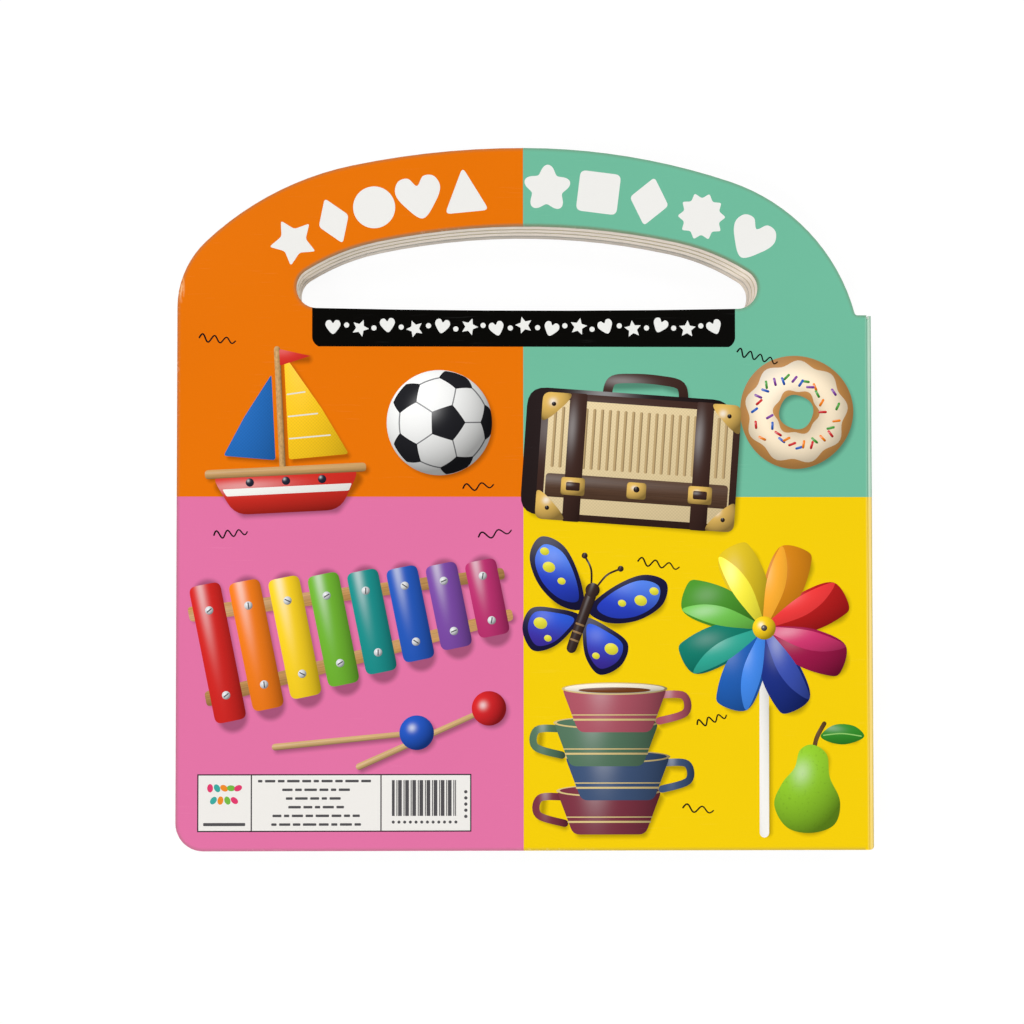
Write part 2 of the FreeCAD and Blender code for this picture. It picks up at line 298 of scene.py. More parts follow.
def addSurface(tree, shader, colour, roughness, height):
    feed(tree, shader.inputs["Base Color"], colour)
    feed(tree, shader.inputs["Roughness"], roughness)
    bump = tree.nodes.new("ShaderNodeBump")
    bump.inputs["Strength"].default_value = laminate["bumpStrength"]
    bump.inputs["Distance"].default_value = laminate["bump"]
    feed(tree, bump.inputs["Height"], height)
    feed(tree, shader.inputs["Normal"], bump.outputs[0])


# Outlines of printed shapes, in millimetres

def turned(points, angle=0.0, x=0.0, y=0.0, factor=1.0):
    c, s = math.cos(angle) * factor, math.sin(angle) * factor
    return [(x + c * px - s * py, y + s * px + c * py) for px, py in points]


def oval(x, y, rx, ry=None, angle=0.0, count=44):
    ry = ry or rx
    ring = [(rx * math.cos(a), ry * math.sin(a)) for a in (2 * math.pi * i / count for i in range(count))]
    return turned(ring, angle, x, y)


def rounded(points, radius, steps=5):
    out = []
    corners = [Vector(p) for p in points]
    for i, corner in enumerate(corners):
        back = corners[i - 1] - corner
        ahead = corners[(i + 1) % len(corners)] - corner
        cut = min(radius, back.length * 0.48, ahead.length * 0.48)
        start, end = corner + back.normalized() * cut, corner + ahead.normalized() * cut
        for k in range(steps + 1):
            t = k / steps
            out.append(tuple(start * (1 - t) ** 2 + corner * 2 * t * (1 - t) + end * t**2))
    return out


def roundBox(x, y, width, height, radius, angle=0.0):
    w, h = width / 2, height / 2
    return turned(rounded([(-w, -h), (w, -h), (w, h), (-w, h)], radius), angle, x, y)


def curve(points, closed=True, steps=7):
    # a smooth line through given points
    spots = [Vector(p) for p in points]
    count = len(spots)
    out = []
    for i in range(count if closed else count - 1):
        b, c = spots[i], spots[(i + 1) % count]
        a = spots[i - 1] if closed or i else b
        d = spots[(i + 2) % count] if closed or i + 2 < count else c
        for k in range(steps):
            t = k / steps
            out.append(tuple(0.5 * (2 * b + (c - a) * t + (2 * a - 5 * b + 4 * c - d) * t * t
                                    + (3 * b - a - 3 * c + d) * t**3)))
    return out if closed else out + [tuple(spots[-1])]


def stroke(points, width, smooth=True, taper=1.0):
    # a line of the given width, round at its ends; taper is the last width as a share of the first
    line = [Vector(p) for p in (curve(points, closed=False) if smooth else points)]
    count = len(line) - 1
    left, right = [], []
    for i, spot in enumerate(line):
        way = (line[min(i + 1, count)] - line[max(i - 1, 0)]).normalized()
        half = width / 2 * (1 + (taper - 1) * i / count)
        side = Vector((-way.y, way.x)) * half
        left.append(spot + side)
        right.append(spot - side)
    cap = []
    for base, way, half in (
        (line[-1], (line[-1] - line[-2]).normalized(), width / 2 * taper),
        (line[0], (line[0] - line[1]).normalized(), width / 2),
    ):
        start = math.atan2(way.y, way.x) + math.pi / 2
        cap.append([base + Vector((math.cos(start - math.pi * k / 6), math.sin(start - math.pi * k / 6)))
                    * half for k in range(1, 6)])
    return [tuple(p) for p in left + cap[0] + right[::-1] + cap[1]]


def star(x, y, outer, inner, tips, angle=0.0, radius=0.0):
    points = []
    for i in range(tips * 2):
        reach = inner if i % 2 else outer
        a = angle + math.pi * i / tips + math.pi / 2
        points.append((x + reach * math.cos(a), y + reach * math.sin(a)))
    return rounded(points, radius, 3) if radius else points


# Printed pictures: thin layers of ink on a board, one piece for each picture

inkStep = 0.006 * mm
paints = {}


def paint(name, colour, bend=(0.3, 0.3), shine=0.1, pattern=None):
    if name in paints:
        return paints[name]
    material, tree, shader = newMaterial(name)
    picture = place(tree, "UVMap", uv_map="picture").outputs[0]
    position = place(tree, "TexCoord").outputs["Object"]
    light = useGroup(tree, pictureLight, Picture=picture, Bend=(*bend, 0), Shine=shine)
    base = pattern(tree, picture, position, ink(*colour)) if pattern else ink(*colour)
    lit = scaled(tree, base, light["Shade"])
    colourOut = mixColours(tree, light["Glint"], lit, (1, 1, 1, 1))
    surface = useGroup(tree, printedLaminate, Vector=position, Color=colourOut, Wear=pictureLook["wear"])
    addSurface(tree, shader, surface["Color"], surface["Roughness"], surface["Height"])
    paints[name] = material
    return material


def grainPattern(tree, picture, position, colour):
    # wood: long streaks along the picture's width
    streaks = noise(tree, vectorCalc(tree, "MULTIPLY", picture, (2.2, 26, 1)), 1.0, 5.0, 0.62)
    return mixColours(tree, spread(tree, streaks, 0.36, 0.7), colour, scaled(tree, colour, 0.6))


def specklePattern(tree, picture, position, colour):
    spots = spread(tree, noise(tree, position, 900, 2.0), 0.6, 0.72)
    return mixColours(tree, calc(tree, "MULTIPLY", spots, 0.35), colour, scaled(tree, colour, 0.55))


def clothPattern(tree, picture, position, colour):
    fine = vectorCalc(tree, "MULTIPLY", position, (5200, 5200, 1))
    parts = split(tree, fine)
    weave = calc(tree, "MULTIPLY", calc(tree, "SINE", parts["X"]), calc(tree, "SINE", parts["Y"]))
    return scaled(tree, colour, calc(tree, "MULTIPLY_ADD", weave, 0.09, 0.97))


def fadePattern(share, other):
    # fades towards another colour up the picture
    def pattern(tree, picture, position, colour):
        height = split(tree, picture)["Y"]
        return mixColours(tree, spread(tree, height, 1 - share, 1.0, soft=True), colour, ink(*other))
    return pattern


def shape(outline, material, frameOf=None, hole=None):
    return {"outline": outline, "material": material, "frameOf": frameOf, "hole": hole}


def area(points):
    return sum(a[0] * b[1] - b[0] * a[1] for a, b in zip(points, points[1:] + points[:1])) / 2


def extent(points):
    xs, ys = [p[0] for p in points], [p[1] for p in points]
    return min(xs), min(ys), max(xs), max(ys)


def overlap(first, second):
    return (first[0] < second[2] and second[0] < first[2]
            and first[1] < second[3] and second[1] < first[3])


def inkMesh(name, shapes, first, put):
    # put gives the place of a point of the picture and its layer's height
    corners, faces, slots, pictureSpots, materials, laid = [], [], [], [], [], []
    for item in shapes:
        loops = [item["outline"] if area(item["outline"]) > 0 else item["outline"][::-1]]
        if item["hole"]:
            loops.append(item["hole"] if area(item["hole"]) < 0 else item["hole"][::-1])
        box = extent(loops[0])
        layer = 1 + max((other for region, other in laid if overlap(region, box)), default=first - 1)
        laid.append((box, layer))
        if item["material"] not in materials:
            materials.append(item["material"])
        left, low, right, high = extent(item["frameOf"] or loops[0])
        points = [p for loop in loops for p in loop]
        base, count = len(corners), len(points)
        for level in (layer * inkStep, 0.0):
            corners += [put(x, y, level) for x, y in points]
            pictureSpots += [((x - left) / (right - left), (y - low) / (high - low)) for x, y in points]
        made = []
        for a, b, c in geometry.tessellate_polygon([[(x, y, 0) for x, y in loop] for loop in loops]):
            if area([points[a], points[b], points[c]]) < 0:
                a, c = c, a
            made += [(a, b, c), (c + count, b + count, a + count)]
        start = 0
        for loop in loops:
            for i in range(len(loop)):
                here, there = start + i, start + (i + 1) % len(loop)
                made.append((here + count, there + count, there, here))
            start += len(loop)
        faces += [tuple(base + corner for corner in face) for face in made]
        slots += [materials.index(item["material"])] * len(made)
    mesh = bpy.data.meshes.new(name)
    mesh.from_pydata(corners, [], faces)
    for material in materials:
        mesh.materials.append(material)
    mesh.polygons.foreach_set("material_index", slots)
    layerMap = mesh.uv_layers.new(name="picture")
    for loop in mesh.loops:
        layerMap.data[loop.index].uv = pictureSpots[loop.vertex_index]
    return mesh


def printOn(name, side, shapes, x=0, y=0, angle=0.0, factor=1.0, first=2):
    # lays a picture on one side of a board: side says the body, the level and which way it faces
    def put(across, up, level):
        across, up = turned([(across, up)], angle, factor=factor)[0]
        return ((x + side["facing"] * across) * mm, (y + up) * mm, side["level"] + side["facing"] * level)

    piece = bpy.data.objects.new(name, inkMesh(name, shapes, first, put))
    bpy.context.scene.collection.objects.link(piece)
    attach(piece, side["body"])


# Each picture is a function that gives its shapes about its own middle

bandBlack = (9, 8, 6)
woodTan = (214, 168, 108)


boatLook = {"mast": 2.2, "sailFoot": -9, "seam": 0.5, "seams": (-1.5, 6.5, 14.5), "seamReach": 21.5,
            "sailSlope": 0.52, "portholes": (-12, 1, 14), "portholeLevel": -16.6, "porthole": 1.5}


def sailingBoat():
    wood = paint("mastWood", woodTan, bend=(0.9, 0.1), pattern=grainPattern)
    hull = rounded([(-26, -13), (28, -13), (20, -28), (-18, -28)], 5)
    yellowSail = rounded([(2.4, -9), (24, -8), (15, 9), (2.4, 29)], 1.2)
    blueSail = rounded([(-2.4, -9), (-21, -6.5), (-13, 7), (-2.4, 22)], 1.2)
    shapes = [
        shape(stroke([(0, -13), (0, 31)], boatLook["mast"], smooth=False), wood),
        shape(yellowSail, paint("sailYellow", (250, 200, 30), (0.45, 0.3), 0.06, clothPattern)),
        shape(blueSail, paint("sailBlue", (38, 110, 190), (0.45, 0.3), 0.06, clothPattern)),
        shape(rounded([(0.8, 31), (12, 28), (0.8, 25)], 0.6), paint("pennantRed", (214, 48, 40))),
    ]
    seam = paint("sailSeam", (226, 226, 214), (0, 0), 0)
    for rise in boatLook["seams"]:
        reach = boatLook["seamReach"] - (rise - boatLook["sailFoot"]) * boatLook["sailSlope"]
        line = [(3, rise), (reach, rise + 0.6)]
        shapes.append(shape(stroke(line, boatLook["seam"], smooth=False), seam))
    shapes += [
        shape(hull, paint("hullRed", (204, 44, 34), (0.35, 0.75), 0.3)),
        shape(rounded([(-22, -18.6), (24.6, -18.6), (23.4, -21.2), (-20.6, -21.2)], 0.6),
              paint("hullWhite", (238, 236, 230), (0.35, 0.4), 0.1), frameOf=hull),
        shape(rounded([(-28, -14.6), (30, -14.6), (30, -11.4), (-28, -11.4)], 1.4),
              paint("railWood", woodTan, (0.1, 0.8), 0.15, grainPattern)),
    ]
    glass = paint("portholeDark", (36, 40, 56), (0.6, 0.6), 0.5)
    for x in boatLook["portholes"]:
        shapes.append(shape(oval(x, boatLook["portholeLevel"], boatLook["porthole"], count=20), glass))
    return shapes


def ballPoint(direction, radius):
    # where a direction from a ball's middle is seen, and kept on its outline if it lies behind
    x, y, z = direction
    flat = math.hypot(x, y)
    if z < 0 and flat > 1e-6:
        return (x / flat * radius, y / flat * radius)
    return (x * radius, y * radius)


footballLook = {
    "radius": 19, "turn": (0.55, 0.3, 0.2), "patchDegrees": 20.9, "seam": 0.45,
    "neighbour": 1.2,  # radians, more than the angle between two patches side by side
    "seamDepth": 0.04, "patchDepth": -0.3,  # how far round the ball seams and patches are still drawn
    "leastPatch": 1.0,
}


def football():
    white = paint("ballWhite", (240, 240, 238), (0.92, 0.92), 0.35)
    patch = paint("ballBlack", (34, 34, 38), (0.92, 0.92), 0.4)
    seam = paint("ballSeam", (128, 128, 130), (0.92, 0.92), 0.1)
    look = footballLook
    radius = look["radius"]
    disc = oval(0, 0, radius, count=72)
    shapes = [shape(disc, white)]
    golden = (1 + math.sqrt(5)) / 2
    tips = [Vector(v).normalized() for v in (
        (0, 1, golden), (0, -1, golden), (0, 1, -golden), (0, -1, -golden),
        (1, golden, 0), (-1, golden, 0), (1, -golden, 0), (-1, -golden, 0),
        (golden, 0, 1), (-golden, 0, 1), (golden, 0, -1), (-golden, 0, -1))]
    aroundX, aroundY, aroundZ = (Matrix.Rotation(a, 3, axis) for a, axis in zip(look["turn"], "XYZ"))
    aim = aroundX @ aroundY @ aroundZ
    tips = [aim @ tip for tip in tips]
    patchAngle = math.radians(look["patchDegrees"])
    for a, tip in enumerate(tips):
        near = [other for other in tips if other is not tip and tip.angle(other) < look["neighbour"]]
        for b, other in enumerate(tips):
            if b <= a or tip.angle(other) > look["neighbour"]:
                continue
            across = (other - tip * tip.dot(other)).normalized()
            arc = tip.angle(other)
            stops = [patchAngle + (arc - 2 * patchAngle) * k / 4 for k in range(5)]
            line = [tip * math.cos(s) + across * math.sin(s) for s in stops]
            if all(p.z > look["seamDepth"] for p in line):
                seen = [ballPoint(p, radius) for p in line]
                shapes.append(shape(stroke(seen, look["seam"], smooth=False), seam, frameOf=disc))
        if tip.z < look["patchDepth"]:
            continue
        first = (near[0] - tip * tip.dot(near[0])).normalized()
        second = tip.cross(first)
        ring = []
        for k in range(5):
            for step in range(6):
                ends = [2 * math.pi * (k + j) / 5 for j in (0, 1)]
                spots = [tip * math.cos(patchAngle) + (first * math.cos(e) + second * math.sin(e))
                         * math.sin(patchAngle) for e in ends]
                ring.append(ballPoint(spots[0].lerp(spots[1], step / 6).normalized(), radius))
        if abs(area(ring)) > look["leastPatch"]:
            shapes.append(shape(ring, patch, frameOf=disc))
    return shapes


doughnutLook = {
    "outer": 20.5, "hole": 6.2, "icingInset": 2.6, "icingHole": 7.9,
    "crown": 0.3, "rimAway": 0.21,  # shares of the picture's width
    "bright": 1.12, "dim": 0.62,  # the light on the crown and at both rims
    "sprinkles": 34, "sprinkleLength": 2.2, "sprinkleWidth": 0.9, "sprinkleFrom": 9.6, "sprinkleOver": 6.6,
    "golden": (2.399963, 0.754878),  # spread the sprinkles evenly, round the ring and across it
    "colours": {"sprinkleRed": (206, 40, 44), "sprinkleGreen": (74, 156, 60), "sprinkleBlue": (40, 96, 190),
                "sprinkleOrange": (240, 130, 20), "sprinklePurple": (130, 66, 160)},
}


def doughnut():
    look = doughnutLook

    def ringPattern(tree, picture, position, colour):
        # rounded like a ring: brightest along its crown, darker at both rims
        away = vectorCalc(tree, "DISTANCE", picture, (0.5, 0.5, 0))
        crown = calc(tree, "ABSOLUTE", calc(tree, "SUBTRACT", away, look["crown"]))
        light = spread(tree, crown, 0, look["rimAway"], look["bright"], look["dim"], soft=True)
        return scaled(tree, colour, light)

    def loop(radius, wave, waves, phase, count=90):
        return [((radius + wave * math.sin(waves * a + phase)) * math.cos(a),
                 (radius + wave * math.sin(waves * a + phase)) * math.sin(a))
                for a in (2 * math.pi * i / count for i in range(count))]

    dough = paint("doughTan", (206, 148, 82), (0.35, 0.35), 0.05, ringPattern)
    icing = paint("icingCream", (244, 226, 196), (0.35, 0.35), 0.3, ringPattern)
    rim = loop(look["outer"], 0.25, 3, 1.0)
    icingEdge = loop(look["outer"] - look["icingInset"], 0.9, 9, 0.6)
    shapes = [
        shape(rim, dough, hole=loop(look["hole"], 0.2, 4, 0)),
        shape(icingEdge, icing, rim, loop(look["icingHole"], 0.6, 6, 2)),
    ]
    names = list(look["colours"])
    roundStep, acrossStep = look["golden"]
    half = look["sprinkleLength"] / 2
    for i in range(look["sprinkles"]):
        a = i * roundStep
        reach = look["sprinkleFrom"] + look["sprinkleOver"] * ((i * acrossStep) % 1)
        spot = turned([(-half, 0), (half, 0)], i * 1.7, reach * math.cos(a), reach * math.sin(a))
        name = names[i % len(names)]
        sugar = paint(name, look["colours"][name], (0.3, 0.8), 0.3)
        shapes.append(shape(stroke(spot, look["sprinkleWidth"], smooth=False), sugar))
    return shapes


caseLook = {"ribs": 23, "ribStart": -29, "ribSpan": 62, "rib": (1.1, 22, 0.5), "straps": (-21, 25),
            "strap": (6.2, 46.4, 0.8), "panelLevel": -13.5, "middle": (2, -3), "cornerAway": (36, 23)}


def suitcase():
    shell = roundBox(2, -3, 72, 46, 6)
    canvas = paint("caseCanvas", (226, 204, 158), (0.25, 0.25), 0.05, clothPattern)
    trim = paint("caseTrim", (64, 42, 36), (0.4, 0.6), 0.2)
    dark = paint("caseSide", (40, 30, 30), (0.9, 0.3), 0.25)
    brass = paint("caseBrass", (214, 174, 90), (0.8, 0.8), 0.6)
    rib = paint("caseRib", (186, 158, 112), (0.9, 0), 0.1)
    shapes = [
        shape(stroke([(-11, 19), (-9.5, 25.5), (-2, 27), (8, 27), (15.5, 25.5), (17, 19)], 3.4), trim),
        shape(roundBox(-2.5, -1.5, 74, 46, 7), dark),
        shape(shell, canvas),
        shape(shell, trim, hole=roundBox(2, -3, 67, 41, 4)),
    ]
    look = caseLook
    (midX, midY), level = look["middle"], look["panelLevel"]
    for i in range(look["ribs"]):
        x = look["ribStart"] + look["ribSpan"] * i / (look["ribs"] - 1)
        shapes.append(shape(roundBox(x, 4, *look["rib"]), rib))
    panel = paint("casePanel", (92, 66, 50), (0.1, 0.5), 0.15, grainPattern)
    shapes.append(shape(roundBox(midX, level, 66, 8.5, 1.5), panel))
    for x in look["straps"]:
        shapes.append(shape(roundBox(x, midY, *look["strap"]), trim))
        shapes.append(shape(roundBox(x, level, 8.6, 6.4, 1), brass))
        shapes.append(shape(roundBox(x, level, 5, 3, 0.6), trim))
    shapes.append(shape(roundBox(midX, level, 7, 6, 1.2), brass))
    shapes.append(shape(oval(midX, level + 0.5, 1.1, count=16), dark))
    for right, up in ((-1, 1), (1, 1), (-1, -1), (1, -1)):
        x, y = midX + look["cornerAway"][0] * right, midY + look["cornerAway"][1] * up
        corner = [(x, y), (x - 11 * right, y), (x - 9 * right, y - 3.4 * up), (x - 3.4 * right, y - 9 * up),
                  (x, y - 11 * up)]
        shapes.append(shape(rounded(corner, 3), brass))
        shapes.append(shape(oval(x - 4.2 * right, y - 4.2 * up, 0.8, count=14), dark))
    return shapes


xylophoneLook = {
    "start": -49.5, "pitch": 14.1, "width": 11.4, "corner": 2.6, "longest": 50, "shorter": 3.2,
    "screw": 1.5, "screwOut": 15.5, "screwIn": 1.05, "notch": (2.2, 0.4, 0.1),
    "bars": {
        "barRed": (208, 38, 34), "barOrange": (238, 122, 24), "barYellow": (246, 206, 34),
        "barGreen": (112, 178, 50), "barTeal": (28, 142, 138), "barBlue": (38, 88, 184),
        "barPurple": (122, 74, 162), "barPlum": (186, 50, 110),
    },
}


def xylophone():
    look = xylophoneLook
    rail = paint("railTimber", (206, 154, 92), (0.1, 0.7), 0.15, grainPattern)
    screw = paint("screwSteel", (212, 214, 216), (0.9, 0.9), 0.8)
    slotMark = paint("screwSlot", (70, 70, 74), (0, 0), 0)
    shapes = []
    for side in (1, -1):
        ends = [(-57, side * 18.2), (57, side * 9.6), (57, side * 5.4), (-57, side * 12.8)]
        shapes.append(shape(rounded(ends, 1.5), rail))
    for i, (name, colour) in enumerate(look["bars"].items()):
        x = look["start"] + look["pitch"] * i
        bar = roundBox(x, 0, look["width"], look["longest"] - look["shorter"] * i, look["corner"])
        shapes.append(shape(bar, paint(name, colour, (0.75, 0.25), 0.45)))
        for side in (1, -1):
            y = side * (look["screwOut"] - look["screwIn"] * i)
            shapes.append(shape(oval(x, y, look["screw"], count=18), screw))
            shapes.append(shape(roundBox(x, y, *look["notch"], 0.5 + i), slotMark))
    return shapes


malletLook = {"from": -26, "to": 22, "width": 2.4, "taper": 0.8, "headAt": 25, "head": 6.2}


def mallet(name, colour):
    stick = paint("malletStick", (222, 182, 124), (0.1, 0.9), 0.2, grainPattern)
    return [
        shape(stroke([(malletLook["from"], 0), (malletLook["to"], 0)], malletLook["width"], smooth=False,
                     taper=malletLook["taper"]), stick),
        shape(oval(malletLook["headAt"], 0, malletLook["head"]), paint(name, colour, (0.9, 0.9), 0.55)),
    ]


butterflyLook = {"inner": (0.8, 0.78), "spotSquash": 0.82, "antenna": 0.7, "body": 3.6, "head": 2.6,
                 "bands": (-10, -7, -4)}


def butterfly():
    look = butterflyLook
    rim = paint("wingRim", (26, 24, 60), (0.3, 0.3), 0.1)
    blue = paint("wingBlue", (42, 66, 196), (0.5, 0.5), 0.1, fadePattern(0.8, (84, 130, 232)))
    violet = paint("wingViolet", (66, 52, 168), (0.5, 0.5), 0.1, fadePattern(0.9, (46, 90, 214)))
    gold = paint("wingGold", (226, 218, 60), (0.4, 0.4), 0.1)
    body = paint("bodyBrown", (58, 42, 38), (0.9, 0.1), 0.3)
    fore = [(1, 2), (6, 12), (15, 20.5), (24, 21), (25.5, 13), (19, 4.5), (9, 0)]
    hind = [(1, -1), (10, -1.5), (18.5, -4.5), (19, -12.5), (13, -18.5), (6.5, -15), (2.5, -8)]
    spots = [(21, 16.4, 1.7), (17.6, 11.6, 2.3), (11.6, 8.4, 1.5), (13.6, -8.4, 2.5), (9.2, -12.6, 1.4)]
    shapes = []
    for side in (1, -1):
        for points, fill in ((hind, violet), (fore, blue)):
            midX, midY = (sum(c) / len(points) for c in zip(*points))
            wide, tall = look["inner"]
            inner = [(midX + (x - midX) * wide, midY + (y - midY) * tall) for x, y in points]
            for outline, material in ((points, rim), (inner, fill)):
                shapes.append(shape([(side * x, y) for x, y in curve(outline)], material))
        for x, y, r in spots:
            shapes.append(shape(oval(side * x, y, r, r * look["spotSquash"], count=24), gold))
        antenna = [(side * 0.8, 10), (side * 3, 16), (side * 6.6, 19.6)]
        shapes.append(shape(stroke(antenna, look["antenna"]), body))
        shapes.append(shape(oval(side * 6.9, 19.9, 1.1, count=16), body))
    shapes.append(shape(stroke([(0, -13), (0, -2), (0, 7)], look["body"], taper=1.15), body))
    shapes.append(shape(oval(0, 9.2, look["head"], count=24), body))
    band = paint("bodyBand", (150, 118, 80), (0.9, 0.1), 0.1)
    for y in look["bands"]:
        shapes.append(shape(roundBox(0, y, 3.4, 0.7, 0.3), band))
    return shapes


pinwheelLook = {
    "radius": 31.5, "stick": 3.4, "stickEnd": (-9, -73), "hub": 4.2, "pin": 1.1,
    "foldLighter": 26, "backShare": 0.86,  # the folded half of a sail is lighter, the half behind it darker
    "sails": {
        "sailScarlet": (216, 34, 34), "sailAmber": (244, 150, 24), "sailLemon": (250, 216, 40),
        "sailLeaf": (86, 168, 52), "sailSea": (22, 140, 120), "sailSky": (40, 110, 206),
        "sailNavy": (34, 56, 150), "sailCherry": (186, 30, 86),
    },
}


def pinwheel():
    look = pinwheelLook
    radius, sails = look["radius"], look["sails"]
    stick = stroke([(0, 0), look["stickEnd"]], look["stick"], smooth=False)
    shapes = [shape(stick, paint("stickWhite", (240, 238, 232), (0.9, 0.05), 0.1))]
    back = [(0, 0), (0.16, -0.07), (0.55, -0.1), (0.9, 0.02), (1.0, 0.14), (0.86, 0.42), (0.5, 0.36),
            (0.2, 0.18)]
    fold = [(0, 0), (0.2, 0.16), (0.5, 0.33), (0.86, 0.42), (0.74, 0.24), (0.52, 0.1), (0.26, 0.03)]
    count = len(sails)
    for part, points, lighter in (("Back", back, 0), ("Fold", fold, look["foldLighter"])):
        for i, (name, colour) in enumerate(sails.items()):
            angle = 2 * math.pi * i / count
            shade = [min(255, c + lighter) if lighter else int(c * look["backShare"]) for c in colour]
            outline = turned(curve([(x * radius, y * radius) for x, y in points]), angle)
            bend = (0.5, 0.5) if lighter else (0.65, 0.65)
            shapes.append(shape(outline, paint(name + part, shade, bend, 0.25 if lighter else 0.1)))
    hub, pin = oval(0, 0, look["hub"], count=30), oval(0, 0, look["pin"], count=16)
    shapes.append(shape(hub, paint("hubYellow", (246, 204, 30), (0.9, 0.9), 0.7)))
    shapes.append(shape(pin, paint("hubPin", (90, 84, 80), (0.9, 0.9), 0.6)))
    return shapes


cupLook = {
    "lowest": -27, "step": 12.2, "foot": 13, "rim": 19, "height": 16, "corner": 2.4, "handle": 2.6,
    "bands": ((4.5, 0.7), (6.2, 0.4)), "slope": 0.37,  # rise and width of each band
    "cups": (  # glaze, shift to the right, and whether the handle is on the right
        ("cupPlum", (122, 52, 66), 0, False), ("cupSlate", (62, 82, 116), 3, True),
        ("cupMoss", (84, 116, 92), -1, False), ("cupRose", (170, 84, 98), 2, True),
    ),
}


def cupStack():
    look = cupLook
    gilt = paint("cupGilt", (214, 190, 130), (0.85, 0.1), 0.3)
    inside = paint("cupInside", (236, 226, 206), (0.5, 0.8), 0.1)
    shapes = []
    for i, (name, colour, shift, right) in enumerate(look["cups"]):
        foot, rim = look["lowest"] + look["step"] * i, look["rim"]
        glaze = paint(name, colour, (0.85, 0.1), 0.45)
        side = 1 if right else -1
        handle = [(shift + side * 17, foot + 13.5), (shift + side * 25, foot + 13),
                  (shift + side * 25.5, foot + 7), (shift + side * 16, foot + 4)]
        shapes.append(shape(stroke(handle, look["handle"]), glaze))
        body = rounded([(shift - look["foot"], foot), (shift + look["foot"], foot),
                        (shift + rim, foot + look["height"]), (shift - rim, foot + look["height"])],
                       look["corner"])
        shapes.append(shape(body, glaze))
        for rise, thick in look["bands"]:
            half = look["foot"] + rise * look["slope"]
            line = [(shift - half, foot + rise), (shift + half, foot + rise)]
            shapes.append(shape(stroke(line, thick, smooth=False), gilt, frameOf=body))
        shapes.append(shape(oval(shift, foot + 15.6, rim, 2.2, count=48), gilt))
        if i == len(look["cups"]) - 1:
            shapes.append(shape(oval(shift, foot + 15.7, 18, 1.8, count=48), inside))
            tea = paint("cupTea", (112, 62, 30), (0.3, 0.3), 0.2)
            shapes.append(shape(oval(shift, foot + 15.1, 13, 1.0, count=36), tea))
        else:
            shapes.append(shape(oval(shift, foot + 15.7, 17.8, 1.7, count=48), glaze))
    return shapes


def pear():
    skin = curve([(-1, 12), (4.4, 9), (6.4, 1), (11, -7), (10, -15.5), (2, -19.5), (-7, -18.5), (-12.4, -11),
                  (-10.4, -3), (-6.6, 3), (-5.4, 9.5)])
    leaf = curve([(1.4, 15.6), (6, 20), (13, 20.4), (17, 17), (11, 13.6), (5, 13.6)])
    stem = stroke([(-0.4, 11), (0.2, 15), (2.2, 20)], 1.6)
    vein = stroke([(2.4, 15.8), (9, 17.2), (16, 17.1)], 0.4)
    return [
        shape(stem, paint("pearStem", (98, 70, 40), (0.8, 0.2), 0.1)),
        shape(skin, paint("pearGreen", (142, 196, 44), (0.8, 0.78), 0.3, specklePattern)),
        shape(leaf, paint("leafGreen", (52, 138, 42), (0.4, 0.6), 0.2)),
        shape(vein, paint("leafVein", (150, 206, 110), (0, 0), 0)),
    ]


penLook = {"swing": 1.5, "fade": 0.4, "width": 0.6, "taper": 0.8, "steps": 12, "black": (22, 20, 20)}


def squiggle(length, waves):
    # a penned wave beside a picture
    steps = penLook["steps"]
    count = steps * waves
    points = []
    for i in range(count + 1):
        swing = penLook["swing"] * math.sin(2 * math.pi * i / steps) * (1 - penLook["fade"] * i / count)
        points.append((length * (i / count - 0.5), swing))
    line = stroke(points, penLook["width"], smooth=False, taper=penLook["taper"])
    return [shape(line, paint("penBlack", penLook["black"], (0, 0), 0))]


# Lines along which a picture's soft shadow shows: a half width, then the points, in the picture's own frame

boatCasts = [
    (3, (-22.5, -16), (-15, -25), (17, -25), (24.5, -16)), (1.4, (-26.6, -13), (28.6, -13)),
    (0.9, (3.4, -8), (3.4, 26), (14, 8), (22.4, -7.5), (3.4, -8.2)), (0.9, (-3, -8), (-19.6, -5.8)),
    (1, (0, -10), (0, 30)), (1.2, (1, 28), (10, 28)),
]
caseCasts = [(6, (-33, -18.5), (32, -20), (32, 14)), (1.7, (-9.5, 25), (8, 26.6), (15.2, 25), (17, 19))]
barPlaces = [xylophoneLook["start"] + xylophoneLook["pitch"] * i for i in range(len(xylophoneLook["bars"]))]
barCasts = [(5.4, (x, 1.6 * i - 22.4), (x, 22.4 - 1.6 * i)) for i, x in enumerate(barPlaces)]
railCasts = [(2, (-55, 15.3 * side), (55, 7.6 * side)) for side in (1, -1)]
malletCasts = [(1.1, (-26, 0), (20, 0)), (6.1, (25, 0))]
wingCasts = [(6.6, (9, 6), (18.5, 14)), (6.6, (-9, 6), (-18.5, 14)), (5.8, (8.4, -7), (12, -11.6)),
             (5.8, (-8.4, -7), (-12, -11.6)), (1.7, (0, -12), (0, 10))]
sailCasts = [(6.5, *turned([(13, 3.2), (24.5, 6)], math.pi * i / 4)) for i in range(8)]
stickCasts = [(1.6, (-3.4, -28), (-8.8, -71.5))]
cupCasts = [(2, (-11, -25), (11, -25), (16.6, -13)), (1.2, (-24.6, -14), (-25.2, -20), (-17, -23)),
            (1.8, (14.4, -12), (19.6, -2)), (1.2, (20, -1.6), (27.6, -2.2), (28.2, -8), (19, -11)),
            (1.8, (10.6, 1), (15.8, 11)), (1.2, (-25.6, 10), (-26.2, 4), (-18, 1.4)),
            (1.8, (13.6, 13), (18.8, 24)), (1.2, (19, 23), (26.8, 22.2), (27.2, 16.4), (18, 13.4))]
